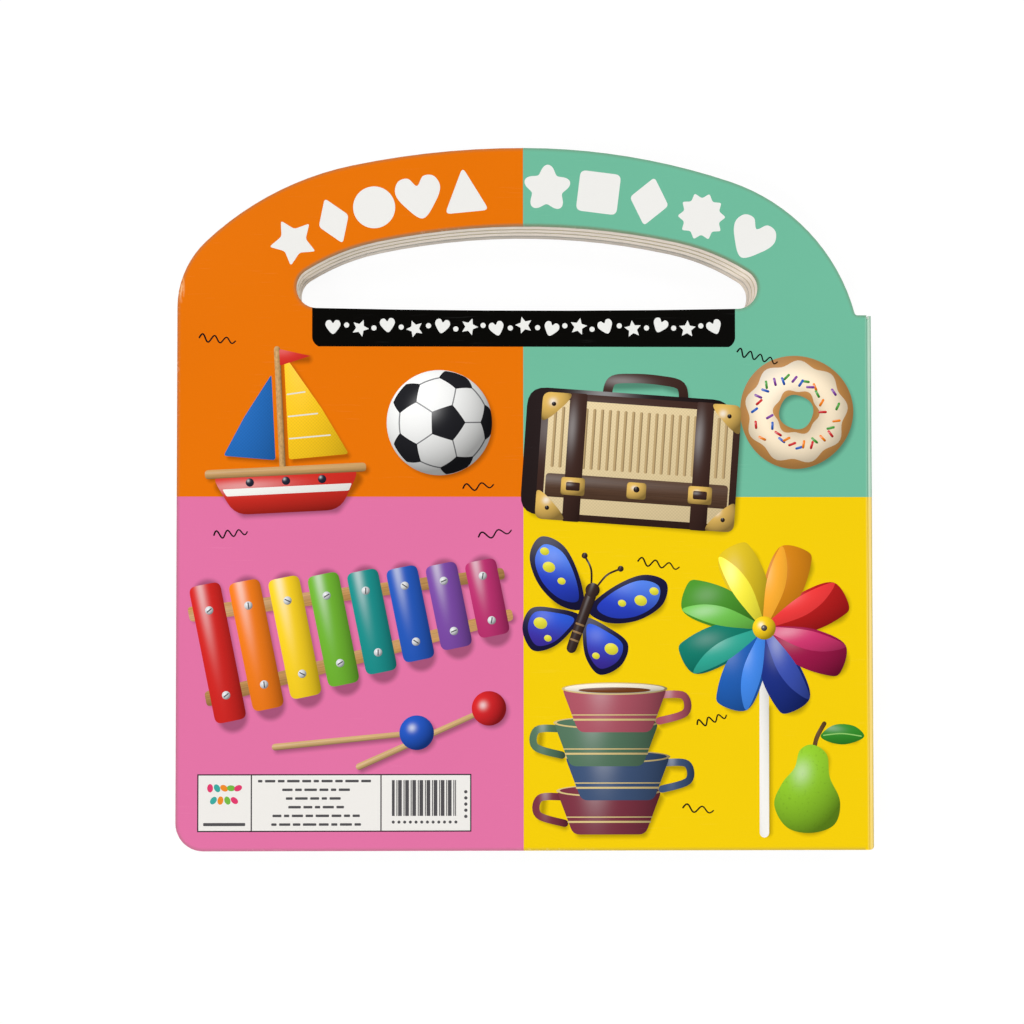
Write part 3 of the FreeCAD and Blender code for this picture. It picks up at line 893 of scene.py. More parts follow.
pearCasts = [(10.4, (-0.8, -9)), (5, (-0.4, -2), (-0.4, 7)), (2.4, (5, 16.8), (12, 17.6))]


# What is laid out on the back cover, in millimetres from its middle

backPictures = {
    "printSailingBoat": {"draw": sailingBoat, "casts": boatCasts, "x": -88, "y": 22.5, "angle": 0.05},
    "printFootball": {"draw": football, "casts": [(18.8, (0, 0))], "x": -31, "y": 27, "angle": 0.0},
    "printSuitcase": {"draw": suitcase, "casts": caseCasts, "x": 39, "y": 16, "angle": -0.07},
    "printDoughnut": {"draw": doughnut, "casts": [(7, (0, 0))], "ring": 13.2, "x": 98, "y": 31, "angle": 0.0},
    "printXylophone": {"draw": xylophone, "casts": barCasts + railCasts, "x": -62, "y": -46, "angle": 0.2},
    "printRedMallet": {"draw": lambda: mallet("malletRed", (206, 36, 40)), "casts": malletCasts,
                       "x": -36, "y": -86, "angle": 0.42},
    "printBlueMallet": {"draw": lambda: mallet("malletBlue", (36, 84, 186)), "casts": malletCasts,
                        "x": -64, "y": -87, "angle": 0.1},
    "printButterfly": {"draw": butterfly, "casts": wingCasts, "x": 21, "y": -42, "angle": -0.35},
    "printPinwheel": {"draw": pinwheel, "casts": sailCasts + stickCasts, "x": 86, "y": -47, "angle": 0.12},
    "printCupStack": {"draw": cupStack, "casts": cupCasts, "x": 30, "y": -94, "angle": 0.0},
    "printPear": {"draw": pear, "casts": pearCasts, "x": 103, "y": -101, "angle": -0.12},
}
backSquiggles = (  # place, turn, length and waves
    (-111, 57, -0.1, 13, 3), (-17, 4, 0.12, 11, 2), (84, 51, -0.25, 15, 4), (-106, -13, 0.1, 12, 3),
    (-11, -13, 0.2, 12, 2), (48, -24, -0.15, 15, 3), (67, -80, 0.3, 11, 3), (62, -112, -0.1, 11, 2),
)

fieldMiddle = (-0.75, 0.25)  # where the four printed fields of a cover meet
coverFields = {
    "headFore": (236, 118, 0), "headSpine": (113, 190, 159),
    "footFore": (230, 117, 167), "footSpine": (247, 208, 3),
    "inside": (236, 236, 228),
}
frontFields = {
    "headFore": (247, 208, 3), "headSpine": (230, 117, 167),
    "footFore": (113, 190, 159), "footSpine": (236, 119, 4),
    "inside": (236, 236, 228),
}
shadowLook = {"shiftX": 1.0, "shiftY": -1.1, "softness": 1.3, "strength": 0.5}
boardLook = {
    "thickness": 2.9, "pitch": 3.05,  # mm, as the boards lie in the frame
    # how far a face is turned outward, from where it is raw edge to where it is print
    "printFrom": (0.2, 0.3), "insideFrom": (-0.6, -0.5), "pageFrom": (0.4, 0.6),
}
bandLook = {"left": -76.9, "right": 76.0, "bottom": 54.15, "top": 80, "corner": 4}  # cut off by the slot
rimLook = {  # painted shade along a cover's rounded edges, strongest above the slot, and the wear rubbed into them
    "shade": ink(125, 120, 92), "outer": 0.34, "slot": 0.78, "slotFrom": (74, 80), "slotTo": 102,
    "width": 1.5, "nearFrom": (0.7, 0.98), "bendFrom": (0.8, 0.995),
    "rubbed": ink(255, 236, 214), "rubbedAmount": 0.25,
    "chipScale": 900, "chipFrom": (0.56, 0.66), "patchScale": 14, "patchFrom": (0.5, 0.66),
}
foldLook = {  # the pale line where the wrap folds over the spine, in mm along X and Y: a painted highlight on the rounded fold, and whitening where the fold is worn
    "white": ink(255, 252, 240), "torn": ink(248, 248, 242),
    "start": 122.9, "crease": 123.7, "peak": 124.55, "top": 65.3,
    "creaseMargin": 0.3, "startMargin": 0.6, "tear": 0.6,
    "head": 0.42, "foot": 0.26, "lineFrom": (0.1, 0.7), "lineLeft": 0.3,
    # painted shade along the spine's outer rounded edge
    "outerFrom": (0.3, 0.5), "outerShade": 0.3,
    "faceFrom": (0.78, 0.96),  # shares of the way from the middle of the spine to a cover's face
    "rubStretch": (900, 60, 900), "rubAmount": (0.8, 1.2),
}
chipLook = {  # the knock on the left shoulder
    "x": -124.0, "y": 75.6, "reachX": 1.4, "reachY": 5.8, "shade": ink(255, 196, 140), "amount": 0.8,
    "flakeStretch": (1500, 260, 1), "flakeFrom": (0.44, 0.54),
}
pageFields = {"upper": (250, 226, 120), "lower": (150, 205, 226)}


def fieldColour(tree, position, fields):
    parts = split(tree, position)
    onSpineSide = calc(tree, "GREATER_THAN", parts["X"], fieldMiddle[0] * mm)
    atHead = calc(tree, "GREATER_THAN", parts["Y"], fieldMiddle[1] * mm)
    head = mixColours(tree, onSpineSide, ink(*fields["headFore"]), ink(*fields["headSpine"]))
    foot = mixColours(tree, onSpineSide, ink(*fields["footFore"]), ink(*fields["footSpine"]))
    return mixColours(tree, atHead, foot, head)


def placedCasts(pictures, facing):
    # the shadow lines of all pictures on a board, in the board's own place: (half width, ring, start, end)
    placed = []
    for look in pictures.values():
        size = look.get("factor", 1.0)
        for radius, *points in look["casts"]:
            spots = []
            for x, y in turned(points, look["angle"], factor=size):
                across = look["x"] + facing * (x + shadowLook["shiftX"])
                spots.append(Vector((across, look["y"] + y + shadowLook["shiftY"], 0)))
            for start, end in zip(spots, spots[1:] or spots):
                placed.append((radius * size, look.get("ring", 0) * size, start, end))
    return placed


def reaches(cast, left, low, right, high):
    radius, ring, start, end = cast
    far = radius + ring + shadowLook["softness"]
    return (min(start.x, end.x) - far < right and max(start.x, end.x) + far > left
            and min(start.y, end.y) - far < high and max(start.y, end.y) + far > low)


def shadowMask(tree, position, casts):
    flat = vectorCalc(tree, "MULTIPLY", position, (1, 1, 0))
    mask = None
    for radius, ring, start, end in casts:
        along = (end - start) * mm
        made = useGroup(
            tree, softShadow, Vector=flat, From=start * mm, Along=along, Ring=ring * mm,
            Share=along / along.length_squared if along.length else along,
            Full=(radius - shadowLook["softness"]) * mm, Gone=(radius + shadowLook["softness"]) * mm,
        )["Mask"]
        mask = made if mask is None else calc(tree, "MAXIMUM", mask, made)
    return calc(tree, "MULTIPLY", mask, shadowLook["strength"])


sheetLook = {"columns": (-122, fieldMiddle[0], 121.6), "rows": (54.5, fieldMiddle[1], -61, -123.4)}


def printSheets(side, fields, pictures):
    # the fields behind the pictures, with the pictures' soft shadows printed on them
    casts = placedCasts(pictures, side["facing"])
    columns, rows = sheetLook["columns"], sheetLook["rows"]
    count = 0
    for left, right in zip(columns, columns[1:]):
        for high, low in zip(rows, rows[1:]):
            near = [cast for cast in casts if reaches(cast, left, low, right, high)]
            if not near:
                continue
            count += 1
            material, tree, shader = newMaterial(f"{side['name']}Field{count}")
            position = place(tree, "TexCoord").outputs["Object"]
            height = "head" if low >= fieldMiddle[1] else "foot"
            field = fields[height + ("Fore" if right <= fieldMiddle[0] else "Spine")]
            lit = calc(tree, "SUBTRACT", 1.0, shadowMask(tree, position, near))
            colour = scaled(tree, ink(*field), lit)
            surface = useGroup(tree, printedLaminate, Vector=position, Color=colour, Wear=1.0)
            addSurface(tree, shader, surface["Color"], surface["Roughness"], surface["Height"])
            corners = ((left, low), (right, low), (right, high), (left, high))
            outline = [(side["facing"] * x, y) for x, y in corners]
            printOn(f"{side['name']}Sheet{count}", side, [shape(outline, material)], first=1)


def bandMask(tree, parts):
    # a field with round lower corners that runs up over the sill of the slot
    middle = (bandLook["left"] + bandLook["right"]) / 2 * mm
    half = (bandLook["right"] - bandLook["left"]) / 2 * mm
    corner = bandLook["corner"] * mm
    sideways = calc(tree, "ABSOLUTE", calc(tree, "SUBTRACT", parts["X"], middle))
    sideways = calc(tree, "MAXIMUM", calc(tree, "SUBTRACT", sideways, half - corner), 0.0)
    downwards = calc(tree, "SUBTRACT", bandLook["bottom"] * mm + corner, parts["Y"])
    downwards = calc(tree, "MAXIMUM", downwards, 0.0)
    away = vectorCalc(tree, "LENGTH", place(tree, "CombineXYZ", sideways, downwards, 0.0).outputs[0])
    inside = calc(tree, "LESS_THAN", away, corner)
    return calc(tree, "MULTIPLY", inside, calc(tree, "LESS_THAN", parts["Y"], bandLook["top"] * mm))


def rimShadeAndWearMask(tree, parts, outward, printed):
    # where painted shade and wear go: the rounded edge and a strip beside it, but not along the fold
    near = place(tree, "AmbientOcclusion", inside=True, only_local=True, samples=8)
    feed(tree, near.inputs["Distance"], rimLook["width"] * mm)
    nearEdge = spread(tree, near.outputs["AO"], *rimLook["nearFrom"], 1, 0)
    rim = calc(tree, "MAXIMUM", spread(tree, outward, *rimLook["bendFrom"], 1, 0), nearEdge)
    pastStart = calc(tree, "GREATER_THAN", parts["X"], (foldLook["start"] - foldLook["startMargin"]) * mm)
    besideFold = calc(tree, "MULTIPLY", pastStart, calc(tree, "LESS_THAN", parts["Y"], foldLook["top"] * mm))
    rim = calc(tree, "MULTIPLY", printed, rim)
    return calc(tree, "MULTIPLY", rim, calc(tree, "SUBTRACT", 1.0, besideFold))


def rimShadeStrength(tree, parts):
    overSlot = spread(tree, parts["Y"], *(y * mm for y in rimLook["slotFrom"]))
    overSlot = calc(tree, "MULTIPLY", overSlot, calc(tree, "LESS_THAN", parts["Y"], rimLook["slotTo"] * mm))
    sideways = calc(tree, "ABSOLUTE", parts["X"])
    overSlot = calc(tree, "MULTIPLY", overSlot, calc(tree, "LESS_THAN", sideways, rawEdge["slotReach"] * mm))
    return spread(tree, overSlot, 0, 1, rimLook["outer"], rimLook["slot"])


def chipMask(tree, position):
    # a knock at the shoulder that left streaks of bare board
    fromChip = vectorCalc(tree, "SUBTRACT", position, (chipLook["x"] * mm, chipLook["y"] * mm, 0))
    reach = (1 / (chipLook["reachX"] * mm), 1 / (chipLook["reachY"] * mm), 0)
    away = vectorCalc(tree, "LENGTH", vectorCalc(tree, "MULTIPLY", fromChip, reach))
    knocked = spread(tree, away, 0.4, 1.0, chipLook["amount"], 0)
    stretched = vectorCalc(tree, "MULTIPLY", position, chipLook["flakeStretch"])
    flakes = spread(tree, noise(tree, stretched, 1.0, 3.0, 0.6), *chipLook["flakeFrom"])
    return calc(tree, "MULTIPLY", knocked, flakes)


def coverMaterial(name, node, fields, facing, edgeShade):
    # the last argument is the brightness of the raw edge at the fore edge and at the middle: painted shade,
    # which darkens the front cover's edge towards the middle
    material, tree, shader = newMaterial(name)
    where = place(tree, "TexCoord").outputs
    position = where["Object"]
    parts = split(tree, position)
    outward = calc(tree, "MULTIPLY", split(tree, where["Normal"])["Z"], float(facing))
    creaseEdge = (foldLook["crease"] - foldLook["creaseMargin"]) * mm
    atCrease = calc(tree, "GREATER_THAN", parts["X"], creaseEdge)
    printed = calc(tree, "MAXIMUM", spread(tree, outward, *boardLook["printFrom"]), atCrease)
    inside = spread(tree, outward, *boardLook["insideFrom"], 1, 0)
    rim = rimShadeAndWearMask(tree, parts, outward, printed)

    colour = fieldColour(tree, position, fields)
    # paler towards the crease: painted highlight on the rounded fold, and whitening of the worn wrap
    bent = spread(tree, parts["X"], foldLook["start"] * mm, foldLook["crease"] * mm, 0, foldLook["foot"] / 2)
    colour = mixColours(tree, bent, colour, foldLook["white"])
    # painted shade along the rounded edges, darker above the slot
    shaded = calc(tree, "MULTIPLY", rim, rimShadeStrength(tree, parts))
    colour = mixColours(tree, shaded, colour, rimLook["shade"])
    chips = spread(tree, noise(tree, position, rimLook["chipScale"], 3.0, 0.6), *rimLook["chipFrom"])
    worn = spread(tree, noise(tree, position, rimLook["patchScale"], 2.0), *rimLook["patchFrom"])
    rubbed = calc(tree, "MULTIPLY", calc(tree, "MULTIPLY", chips, worn), rim)
    rubbed = calc(tree, "MULTIPLY", rubbed, rimLook["rubbedAmount"])
    colour = mixColours(tree, rubbed, colour, rimLook["rubbed"])
    colour = mixColours(tree, bandMask(tree, parts), colour, ink(*bandBlack))
    colour = mixColours(tree, chipMask(tree, position), colour, chipLook["shade"])
    surface = useGroup(tree, printedLaminate, Vector=position, Color=colour, Wear=1.0)

    edge = useGroup(tree, rawBoardEdge, Vector=position, Low=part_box(node)[0].z,
                    Pitch=boardLook["pitch"] * mm, Thickness=boardLook["thickness"] * mm)
    # painted shade on the raw edge, darkest between the fore edge and the spine end
    toMiddle = spread(tree, parts["X"], *(x * mm for x in rawEdge["shadeFore"]), *edgeShade)
    toSpine = spread(tree, parts["X"], *(x * mm for x in rawEdge["shadeSpine"]), edgeShade[1], 1)
    edgeColour = scaled(tree, edge["Color"], calc(tree, "MAXIMUM", toMiddle, toSpine))
    colour = mixColours(tree, printed, edgeColour, surface["Color"])
    colour = mixColours(tree, inside, colour, ink(*fields["inside"]))
    both = calc(tree, "MAXIMUM", printed, inside)
    rough = spread(tree, both, 0, 1, rawEdge["roughness"], surface["Roughness"])
    addSurface(tree, shader, colour, rough, calc(tree, "ADD", surface["Height"], edge["Height"]))
    return material


def pageMaterial():
    material, tree, shader = newMaterial("pageBoard")
    where = place(tree, "TexCoord").outputs
    position = where["Object"]
    level = split(tree, where["Normal"])["Z"]
    flat = spread(tree, calc(tree, "ABSOLUTE", level), *boardLook["pageFrom"])
    upper = spread(tree, level, *boardLook["pageFrom"])
    colour = mixColours(tree, upper, ink(*pageFields["lower"]), ink(*pageFields["upper"]))
    surface = useGroup(tree, printedLaminate, Vector=position, Color=colour, Wear=0.7)
    edge = useGroup(tree, rawBoardEdge, Vector=position, Low=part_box("page_block")[0].z,
                    Pitch=boardLook["pitch"] * mm, Thickness=boardLook["thickness"] * mm)
    colour = mixColours(tree, flat, edge["Color"], surface["Color"])
    rough = spread(tree, flat, 0, 1, rawEdge["roughness"], surface["Roughness"])
    addSurface(tree, shader, colour, rough, calc(tree, "ADD", surface["Height"], edge["Height"]))
    return material


def spineMaterial():
    material, tree, shader = newMaterial("spineWrap")
    where = place(tree, "TexCoord").outputs
    position = where["Object"]
    parts = split(tree, position)
    atHead = calc(tree, "GREATER_THAN", parts["Y"], fieldMiddle[1] * mm)
    colour = mixColours(tree, atHead, ink(*coverFields["footSpine"]), ink(*coverFields["headSpine"]))
    low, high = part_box("spine")
    middle, half = (low.z + high.z) / 2, (high.z - low.z) / 2
    fromMiddle = calc(tree, "ABSOLUTE", calc(tree, "SUBTRACT", parts["Z"], middle))
    nearFace = spread(tree, fromMiddle, *(share * half for share in foldLook["faceFrom"]))
    # the pale line along the fold: painted highlight on its rounded top, and rubbed whitening
    fromPeak = calc(tree, "ABSOLUTE", calc(tree, "SUBTRACT", parts["X"], foldLook["peak"] * mm))
    lineFrom = [x * mm for x in foldLook["lineFrom"]]
    line = spread(tree, fromPeak, *lineFrom, 1.0, foldLook["lineLeft"], soft=True)
    line = calc(tree, "MULTIPLY", line, spread(tree, atHead, 0, 1, foldLook["foot"], foldLook["head"]))
    rubbed = noise(tree, vectorCalc(tree, "MULTIPLY", position, foldLook["rubStretch"]), 1.0, 4.0)
    rubbed = spread(tree, rubbed, 0.3, 0.7, *foldLook["rubAmount"])
    pale = calc(tree, "MULTIPLY", calc(tree, "MULTIPLY", line, nearFace), rubbed)
    colour = mixColours(tree, pale, colour, foldLook["white"])
    # painted shade along the spine's outer rounded edge
    outer = [(foldLook["peak"] + x) * mm for x in foldLook["outerFrom"]]
    outerShade = spread(tree, parts["X"], *outer, 0, foldLook["outerShade"])
    colour = mixColours(tree, calc(tree, "MULTIPLY", outerShade, nearFace), colour, rimLook["shade"])
    tear = [y * mm for y in (foldLook["top"] - foldLook["tear"], foldLook["top"])]
    torn = calc(tree, "MULTIPLY", spread(tree, parts["Y"], *tear),
                calc(tree, "LESS_THAN", parts["X"], foldLook["peak"] * mm))
    colour = mixColours(tree, torn, colour, foldLook["torn"])
    surface = useGroup(tree, printedLaminate, Vector=position, Color=colour, Wear=1.2)
    addSurface(tree, shader, surface["Color"], surface["Roughness"], surface["Height"])
    return material


def dress(node, material):
    mesh = cadNodes[node].data
    mesh.materials.clear()
    mesh.materials.append(material)


dress("back_cover", coverMaterial("backCoverPrint", "back_cover", coverFields, 1, (1, 1)))
dress("front_cover", coverMaterial("frontCoverPrint", "front_cover", frontFields, -1, (1, 0.66)))
dress("page_block", pageMaterial())
dress("spine", spineMaterial())
print("boards dressed")


def side(name, body, node, facing, slot):
    low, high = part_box(node)
    level = high.z if facing > 0 else low.z
    return {"name": name, "body": body, "level": level, "facing": facing, "slot": slot}


sides = {
    "backOutside": side("back", "back", "back_cover", 1, "cover_print"),
    "backInside": side("backInside", "back", "back_cover", -1, "cover_print"),
    "lastPage": side("lastPage", "pages", "page_block", 1, "page_board"),
    "firstPage": side("firstPage", "pages", "page_block", -1, "page_board"),
    "frontInside": side("frontInside", "front", "front_cover", 1, "cover_print"),
    "frontOutside": side("front", "front", "front_cover", -1, "cover_print"),
}

printSheets(sides["backOutside"], coverFields, backPictures)
for name, look in backPictures.items():
    printOn(name, sides["backOutside"], look["draw"](), look["x"], look["y"], look["angle"])
for number, (x, y, angle, length, waves) in enumerate(backSquiggles, start=1):
    printOn(f"printSquiggle{number}", sides["backOutside"], squiggle(length, waves), x, y, angle)
print("back cover pictures printed")


# The row of plain white shapes along the arch

arch = {"crown": 112.2, "reach": 110, "drop": 54.8, "white": (241, 240, 236)}


def heart(size):
    points = [(0, -0.5), (0.36, -0.16), (0.52, 0.16), (0.42, 0.42), (0.18, 0.46), (0, 0.26),
              (-0.18, 0.46), (-0.42, 0.42), (-0.52, 0.16), (-0.36, -0.16)]
    return curve([(x * size, y * size) for x, y in points])


def flower(radius, lobe):
    outline = []
    for a in (2 * math.pi * i / 80 for i in range(80)):
        reach = radius * (1 + lobe * math.cos(5 * a))
        outline.append((reach * math.sin(a), reach * math.cos(a)))
    return outline


def diamond(width, height):
    half, rise = width / 2, height / 2
    return rounded([(0, -rise), (half, 0), (0, rise), (-half, 0)], 1.4)


def archShapes():
    white = paint("archWhite", arch["white"], (0, 0), 0)
    drawn = (  # along X, with a gap at the middle
        (-84, star(0, -0.4, 8.8, 4.6, 5, 0, 1.0)), (-69.2, diamond(11.6, 17.6)),
        (-54.6, oval(0, 0, 7.6)), (-38.4, heart(15.8)),
        (-21.8, rounded([(-8, -7.8), (8, -7.8), (0, 8.6)], 2.2)),
        (8, flower(7.2, 0.2)), (26.6, roundBox(0, 0, 14.8, 14.8, 2.2)), (45, diamond(14.4, 18)),
        (64, star(0, 0, 8.8, 6.6, 10, 0, 0.8)), (82, heart(15.5)),
    )
    shapes = []
    for x, outline in drawn:
        share = x / arch["reach"]
        rise = math.sqrt(1 - share * share)
        y = arch["crown"] - arch["drop"] * (1 - rise)
        slope = -arch["drop"] * share / arch["reach"] / rise
        shapes.append(shape(turned(outline, math.atan(slope), x, y), white))
    return shapes


printOn("printArchShapes", sides["backOutside"], archShapes())


# A garland of small white shapes along the black band

garland = {"count": 29, "inset": 7.5, "middle": 61.6, "sway": 0.7, "tilt": 0.4,
           "dot": 0.95, "star": (3.2, 1.5), "heart": 5.2, "white": (240, 240, 236)}


def garlandShapes():
    white = paint("bandWhite", garland["white"], (0, 0), 0)
    left, right = bandLook["left"] + garland["inset"], bandLook["right"] - garland["inset"]
    shapes = []
    for i in range(garland["count"]):
        x = left + (right - left) * i / (garland["count"] - 1)
        y = garland["middle"] + garland["sway"] * math.sin(i * 1.9)
        tilt = garland["tilt"] * math.sin(i * 2.3)
        if i % 2:
            outline = oval(x, y, garland["dot"], count=16)
        elif i % 4:
            outline = star(x, y, *garland["star"], 5, tilt, 0.2)
        else:
            outline = turned(heart(garland["heart"]), tilt, x, y)
        shapes.append(shape(outline, white))
    return shapes


printOn("printGarland", sides["backOutside"], garlandShapes())


# The pale panel at the foot, in three cells

panelLook = {"left": -117.65, "right": -19.5, "top": -99.25, "bottom": -119.9,
             "dividers": (-98.3, -51.9), "line": 0.46, "corner": 0.05,
             "white": (241, 238, 233), "dark": (84, 82, 84), "frame": (58, 50, 56)}
confettiLook = {"inset": 4.6, "across": 2.5, "lean": 1.2, "fall": 5, "down": 4.4, "dot": (1.05, 1.5),
                "rule": (15, 1.1, 0.3), "ruleRise": 2.7}
rulesLook = {"margin": 3, "shares": (0.96, 0.56, 0.5, 0.46, 0.72, 0.74), "fall": 2.5, "pitch": 3.1,
             "height": 0.9, "corner": 0.3, "gap": 0.9, "dash": 1.6, "longer": 3.4, "least": 1.2}
stripesLook = {"inset": 4.4, "count": 9, "pitch": 2.55, "bars": ((0, 1.0), (1.3, 0.36), (1.9, 0.36)),
               "fall": 8.6, "height": 12.8, "rowDots": 12, "rowPitch": 2.04, "rowFall": 17.2, "rowDot": 0.55,
               "sideDots": 5, "sidePitch": 2.2, "sideFall": 6.4, "sideInset": 2, "sideDot": 0.6}


def panelShapes():
    left, right, top, bottom = (panelLook[k] for k in ("left", "right", "top", "bottom"))
    white = paint("panelWhite", panelLook["white"], (0, 0), 0)
    frameInk = paint("panelFrame", panelLook["frame"], (0, 0), 0)
    across, middle = (left + right) / 2, (top + bottom) / 2
    width, height = right - left, top - bottom
    line, corner = panelLook["line"], panelLook["corner"]
    shapes = [
        shape(roundBox(across, middle, width, height, corner), frameInk),
        shape(roundBox(across, middle, width - 2 * line, height - 2 * line, corner), white),
    ]
    for x in panelLook["dividers"]:
        shapes.append(shape(roundBox(x, middle, line, height - line, corner), frameInk))
    return shapes + confetti(left) + ruledCell() + stripedCell()


def confetti(left):
    # dots in bright colours over a plain rule
    colours = {"dotPink": (226, 60, 110), "dotGreen": (118, 186, 70), "dotOrange": (240, 140, 40),
               "dotTeal": (60, 170, 160)}
    names = list(colours)
    look = confettiLook
    shapes = []
    for i in range(9):
        row, column = divmod(i, 5)
        x = left + look["inset"] + look["across"] * column + look["lean"] * row
        y = panelLook["top"] - look["fall"] - look["down"] * row
        name = names[(i * 3) % 4]
        dot = oval(x, y, *look["dot"], 0.5 * i, count=20)
        shapes.append(shape(dot, paint(name, colours[name], (0, 0), 0)))
    middle = (left + panelLook["dividers"][0]) / 2
    rule = roundBox(middle, panelLook["bottom"] + look["ruleRise"], *look["rule"])
    return shapes + [shape(rule, paint("panelDark", panelLook["dark"], (0, 0), 0))]


def ruledCell():
    # six broken rules, centred
    look = rulesLook
    first, second = panelLook["dividers"]
    middle = (first + second) / 2
    dark = paint("panelDark", panelLook["dark"], (0, 0), 0)
    shapes = []
    for row, share in enumerate(look["shares"]):
        half = (second - first - look["margin"]) / 2 * share
        y = panelLook["top"] - look["fall"] - look["pitch"] * row
        x, i = middle - half, row
        while x < middle + half - look["least"]:
            dash = min(look["dash"] + look["longer"] * ((i * 0.618) % 1), middle + half - x)
            shapes.append(shape(roundBox(x + dash / 2, y, dash, look["height"], look["corner"]), dark))
            x += dash + look["gap"]
            i += 1
    return shapes


def stripedCell():
    # an even upright stripe, one broad and two fine in turn, over a row of dots
    dark = paint("panelDark", panelLook["dark"], (0, 0), 0)
    look, top = stripesLook, panelLook["top"]
    start = panelLook["dividers"][1] + look["inset"]
    shapes = []
    for i in range(look["count"]):
        for shift, wide in look["bars"]:
            x = start + look["pitch"] * i + shift
            shapes.append(shape(roundBox(x, top - look["fall"], wide, look["height"], 0.02), dark))
    for i in range(look["rowDots"]):
        x = start + look["rowPitch"] * i
        shapes.append(shape(oval(x, top - look["rowFall"], look["rowDot"], count=16), dark))
    for i in range(look["sideDots"]):
        y = top - look["sideFall"] - look["sidePitch"] * i
        shapes.append(shape(oval(panelLook["right"] - look["sideInset"], y, look["sideDot"], count=16), dark))
    return shapes


printOn("printPanel", sides["backOutside"], panelShapes())
print("arch shapes, garland and panel printed")


# The front cover and the inner sides don't show in the closed book

frontPictures = {
    "frontPinwheel": {"draw": pinwheel, "casts": sailCasts + stickCasts, "x": 62, "y": 8, "angle": -0.1,
                      "factor": 1.25},
    "frontSailingBoat": {"draw": sailingBoat, "casts": boatCasts, "x": -62, "y": 5, "angle": 0.04,
                         "factor": 1.3},
    "frontFootball": {"draw": football, "casts": [(18.8, (0, 0))], "x": -70, "y": -82, "angle": 0.3,
                      "factor": 1.3},
    "frontButterfly": {"draw": butterfly, "casts": wingCasts, "x": 0, "y": -62, "angle": 0.3, "factor": 1.2},
}
for name, look in frontPictures.items():
    printOn(name, sides["frontOutside"], look["draw"](), look["x"], look["y"], look["angle"], look["factor"])
printOn("frontArchShapes", sides["frontOutside"], archShapes())
printSheets(sides["frontOutside"], frontFields, frontPictures)

innerPictures = {  # side, picture, place, turn and size
    "lastPageXylophone": ("lastPage", xylophone, -12, -48, 0.15, 1.4),
    "lastPagePear": ("lastPage", pear, -78, 30, 0.1, 1.4),
    "lastPageFootball": ("lastPage", football, 52, 30, 0.4, 1.2),
    "backInsideDoughnut": ("backInside", doughnut, -52, -62, 0, 1.7),
    "backInsideBoat": ("backInside", sailingBoat, 44, -8, -0.04, 1.4),
    "backInsideButterfly": ("backInside", butterfly, -62, 20, 0.2, 1.2),
    "firstPageCups": ("firstPage", cupStack, 48, -40, 0, 1.5),
    "firstPagePinwheel": ("firstPage", pinwheel, -52, -6, 0.1, 1.1),
    "frontInsideSuitcase": ("frontInside", suitcase, 20, -60, 0, 1.4),
    "frontInsideButterfly": ("frontInside", butterfly, -66, 18, -0.2, 1.3),
    "frontInsidePear": ("frontInside", pear, 70, 22, 0.1, 1.3),
}
for name, (where, draw, x, y, angle, factor) in innerPictures.items():
    printOn(name, sides[where], draw(), x, y, angle, factor)
print("front cover and inner sides printed")


# Camera, floor and light

shot = {
    "place": (-0.02936, -0.02657, 0.32759), "turn": (0.735, -0.397, 0),
    "focalPixels": 877, "imagePixels": 1024,
    "aimX": 450, "aimY": 560,  # where the lens axis meets the picture, in its pixels
}


def makeCamera():
    data = bpy.data.cameras.new("bookCamera")
    data.sensor_width = 36
    data.lens = data.sensor_width * shot["focalPixels"] / shot["imagePixels"]
    middle = shot["imagePixels"] / 2
    data.shift_x = (middle - shot["aimX"]) / shot["imagePixels"]
    data.shift_y = (shot["aimY"] - middle) / shot["imagePixels"]
    data.clip_start, data.clip_end = 0.01, 20
    camera = bpy.data.objects.new("bookCamera", data)
    camera.location = shot["place"]
    camera.rotation_euler = [math.radians(turn) for turn in shot["turn"]]
    bpy.context.scene.collection.objects.link(camera)
    bpy.context.scene.camera = camera


floorLook = {"half": 4.0, "drop": 0.0002, "albedo": 0.88, "roughness": 0.9, "specular": 0.1,
             "whiteShare": 0.88, "white": 1.04}


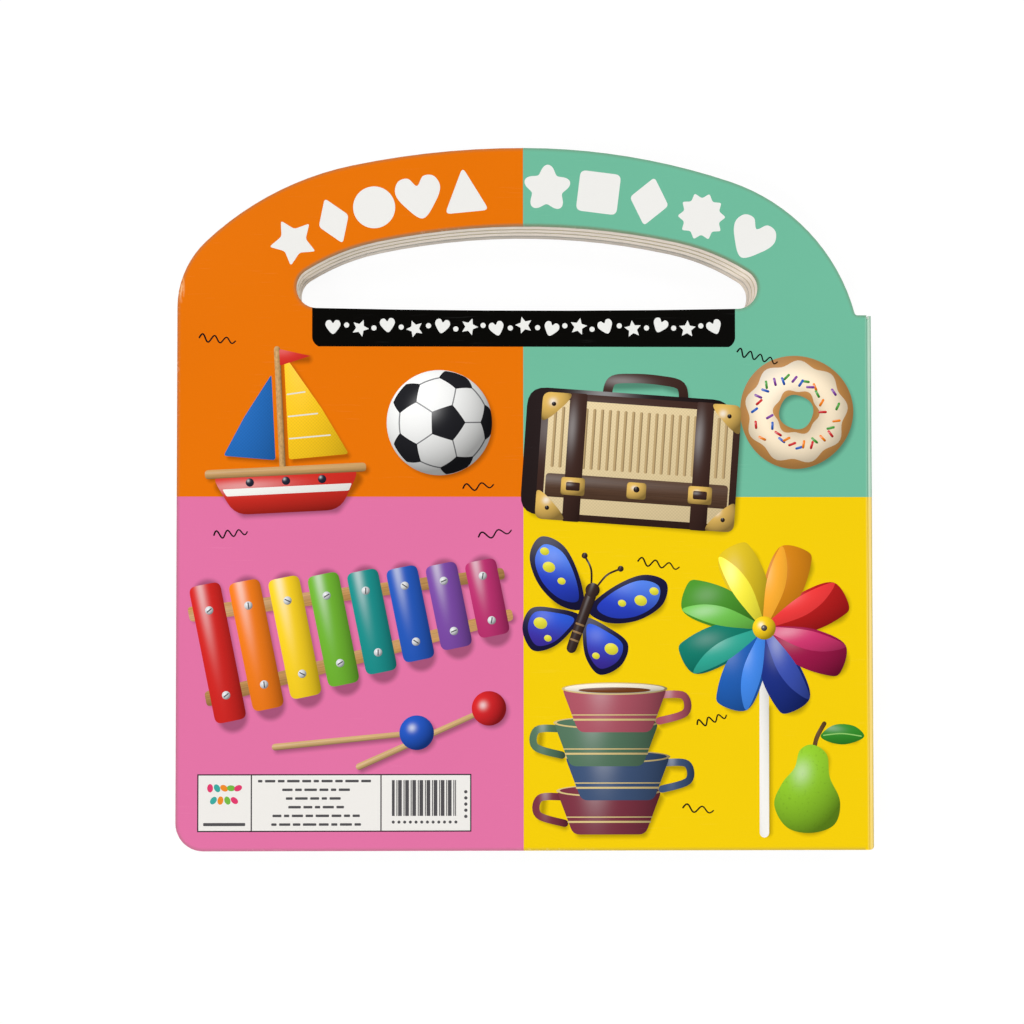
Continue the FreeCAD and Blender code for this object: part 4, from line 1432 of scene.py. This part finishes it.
def makeFloor():
    half = floorLook["half"]
    mesh = bpy.data.meshes.new("floor")
    corners = [(-half, -half, 0), (half, -half, 0), (half, half, 0), (-half, half, 0)]
    mesh.from_pydata(corners, [], [(0, 1, 2, 3)])
    floor = bpy.data.objects.new("floor", mesh)
    floor.location.z = -floorLook["drop"]
    bpy.context.scene.collection.objects.link(floor)
    material = bpy.data.materials.new("floorPale")
    material.use_nodes = True
    tree = material.node_tree
    shader = tree.nodes["Principled BSDF"]
    grey = floorLook["albedo"]
    shader.inputs["Base Color"].default_value = (grey, grey, grey, 1)
    shader.inputs["Roughness"].default_value = floorLook["roughness"]
    shader.inputs["Specular IOR Level"].default_value = floorLook["specular"]
    path = place(tree, "LightPath").outputs
    seen = calc(tree, "MAXIMUM", path["Is Camera Ray"], path["Is Glossy Ray"])
    white = place(tree, "Emission", (1, 1, 1, 1), floorLook["white"])
    share = calc(tree, "MULTIPLY", seen, floorLook["whiteShare"])
    mixed = place(tree, "MixShader", share, shader.outputs[0], white.outputs[0])
    tree.links.new(mixed.outputs[0], tree.nodes["Material Output"].inputs["Surface"])
    mesh.materials.append(material)


lamps = {  # azimuth and height in degrees, and the share of the light
    "keyLamp": (125, 42, 0.14), "fillLamp": (40, 40, 0.14),
    "footLamp": (-88, 30, 0.16), "sideLamp": (-150, 38, 0.16),
}
lampWidth = 16  # degrees across, which softens the shadows
sky = {"share": 0.4, "whiteBelow": 0.45, "darkAbove": 0.72, "zenith": 0.02}


def makeLight():
    world = bpy.data.worlds.new("studio")
    bpy.context.scene.world = world
    world.use_nodes = True
    tree = world.node_tree
    background = tree.nodes["Background"]
    path = place(tree, "LightPath").outputs
    seen = calc(tree, "MAXIMUM", path["Is Camera Ray"], path["Is Glossy Ray"])
    height = split(tree, place(tree, "TexCoord").outputs["Generated"])["Z"]
    shown = spread(tree, height, sky["whiteBelow"], sky["darkAbove"], 1.0, sky["zenith"], soft=True)
    feed(tree, background.inputs["Strength"], spread(tree, seen, 0, 1, sky["share"], shown))
    background.inputs["Color"].default_value = (1, 1, 1, 1)
    for name, (azimuth, height, share) in lamps.items():
        data = bpy.data.lights.new(name, "SUN")
        data.angle = math.radians(lampWidth)
        data.energy = share * math.pi / math.sin(math.radians(height))
        lamp = bpy.data.objects.new(name, data)
        bpy.context.scene.collection.objects.link(lamp)
        a, e = math.radians(azimuth), math.radians(height)
        toLamp = Vector((math.cos(a) * math.cos(e), math.sin(a) * math.cos(e), math.sin(e)))
        lamp.rotation_euler = toLamp.to_track_quat("Z", "Y").to_euler()


makeCamera()
makeFloor()
makeLight()
bpy.context.scene.view_settings.view_transform = "Standard"
print("camera, floor and light set")
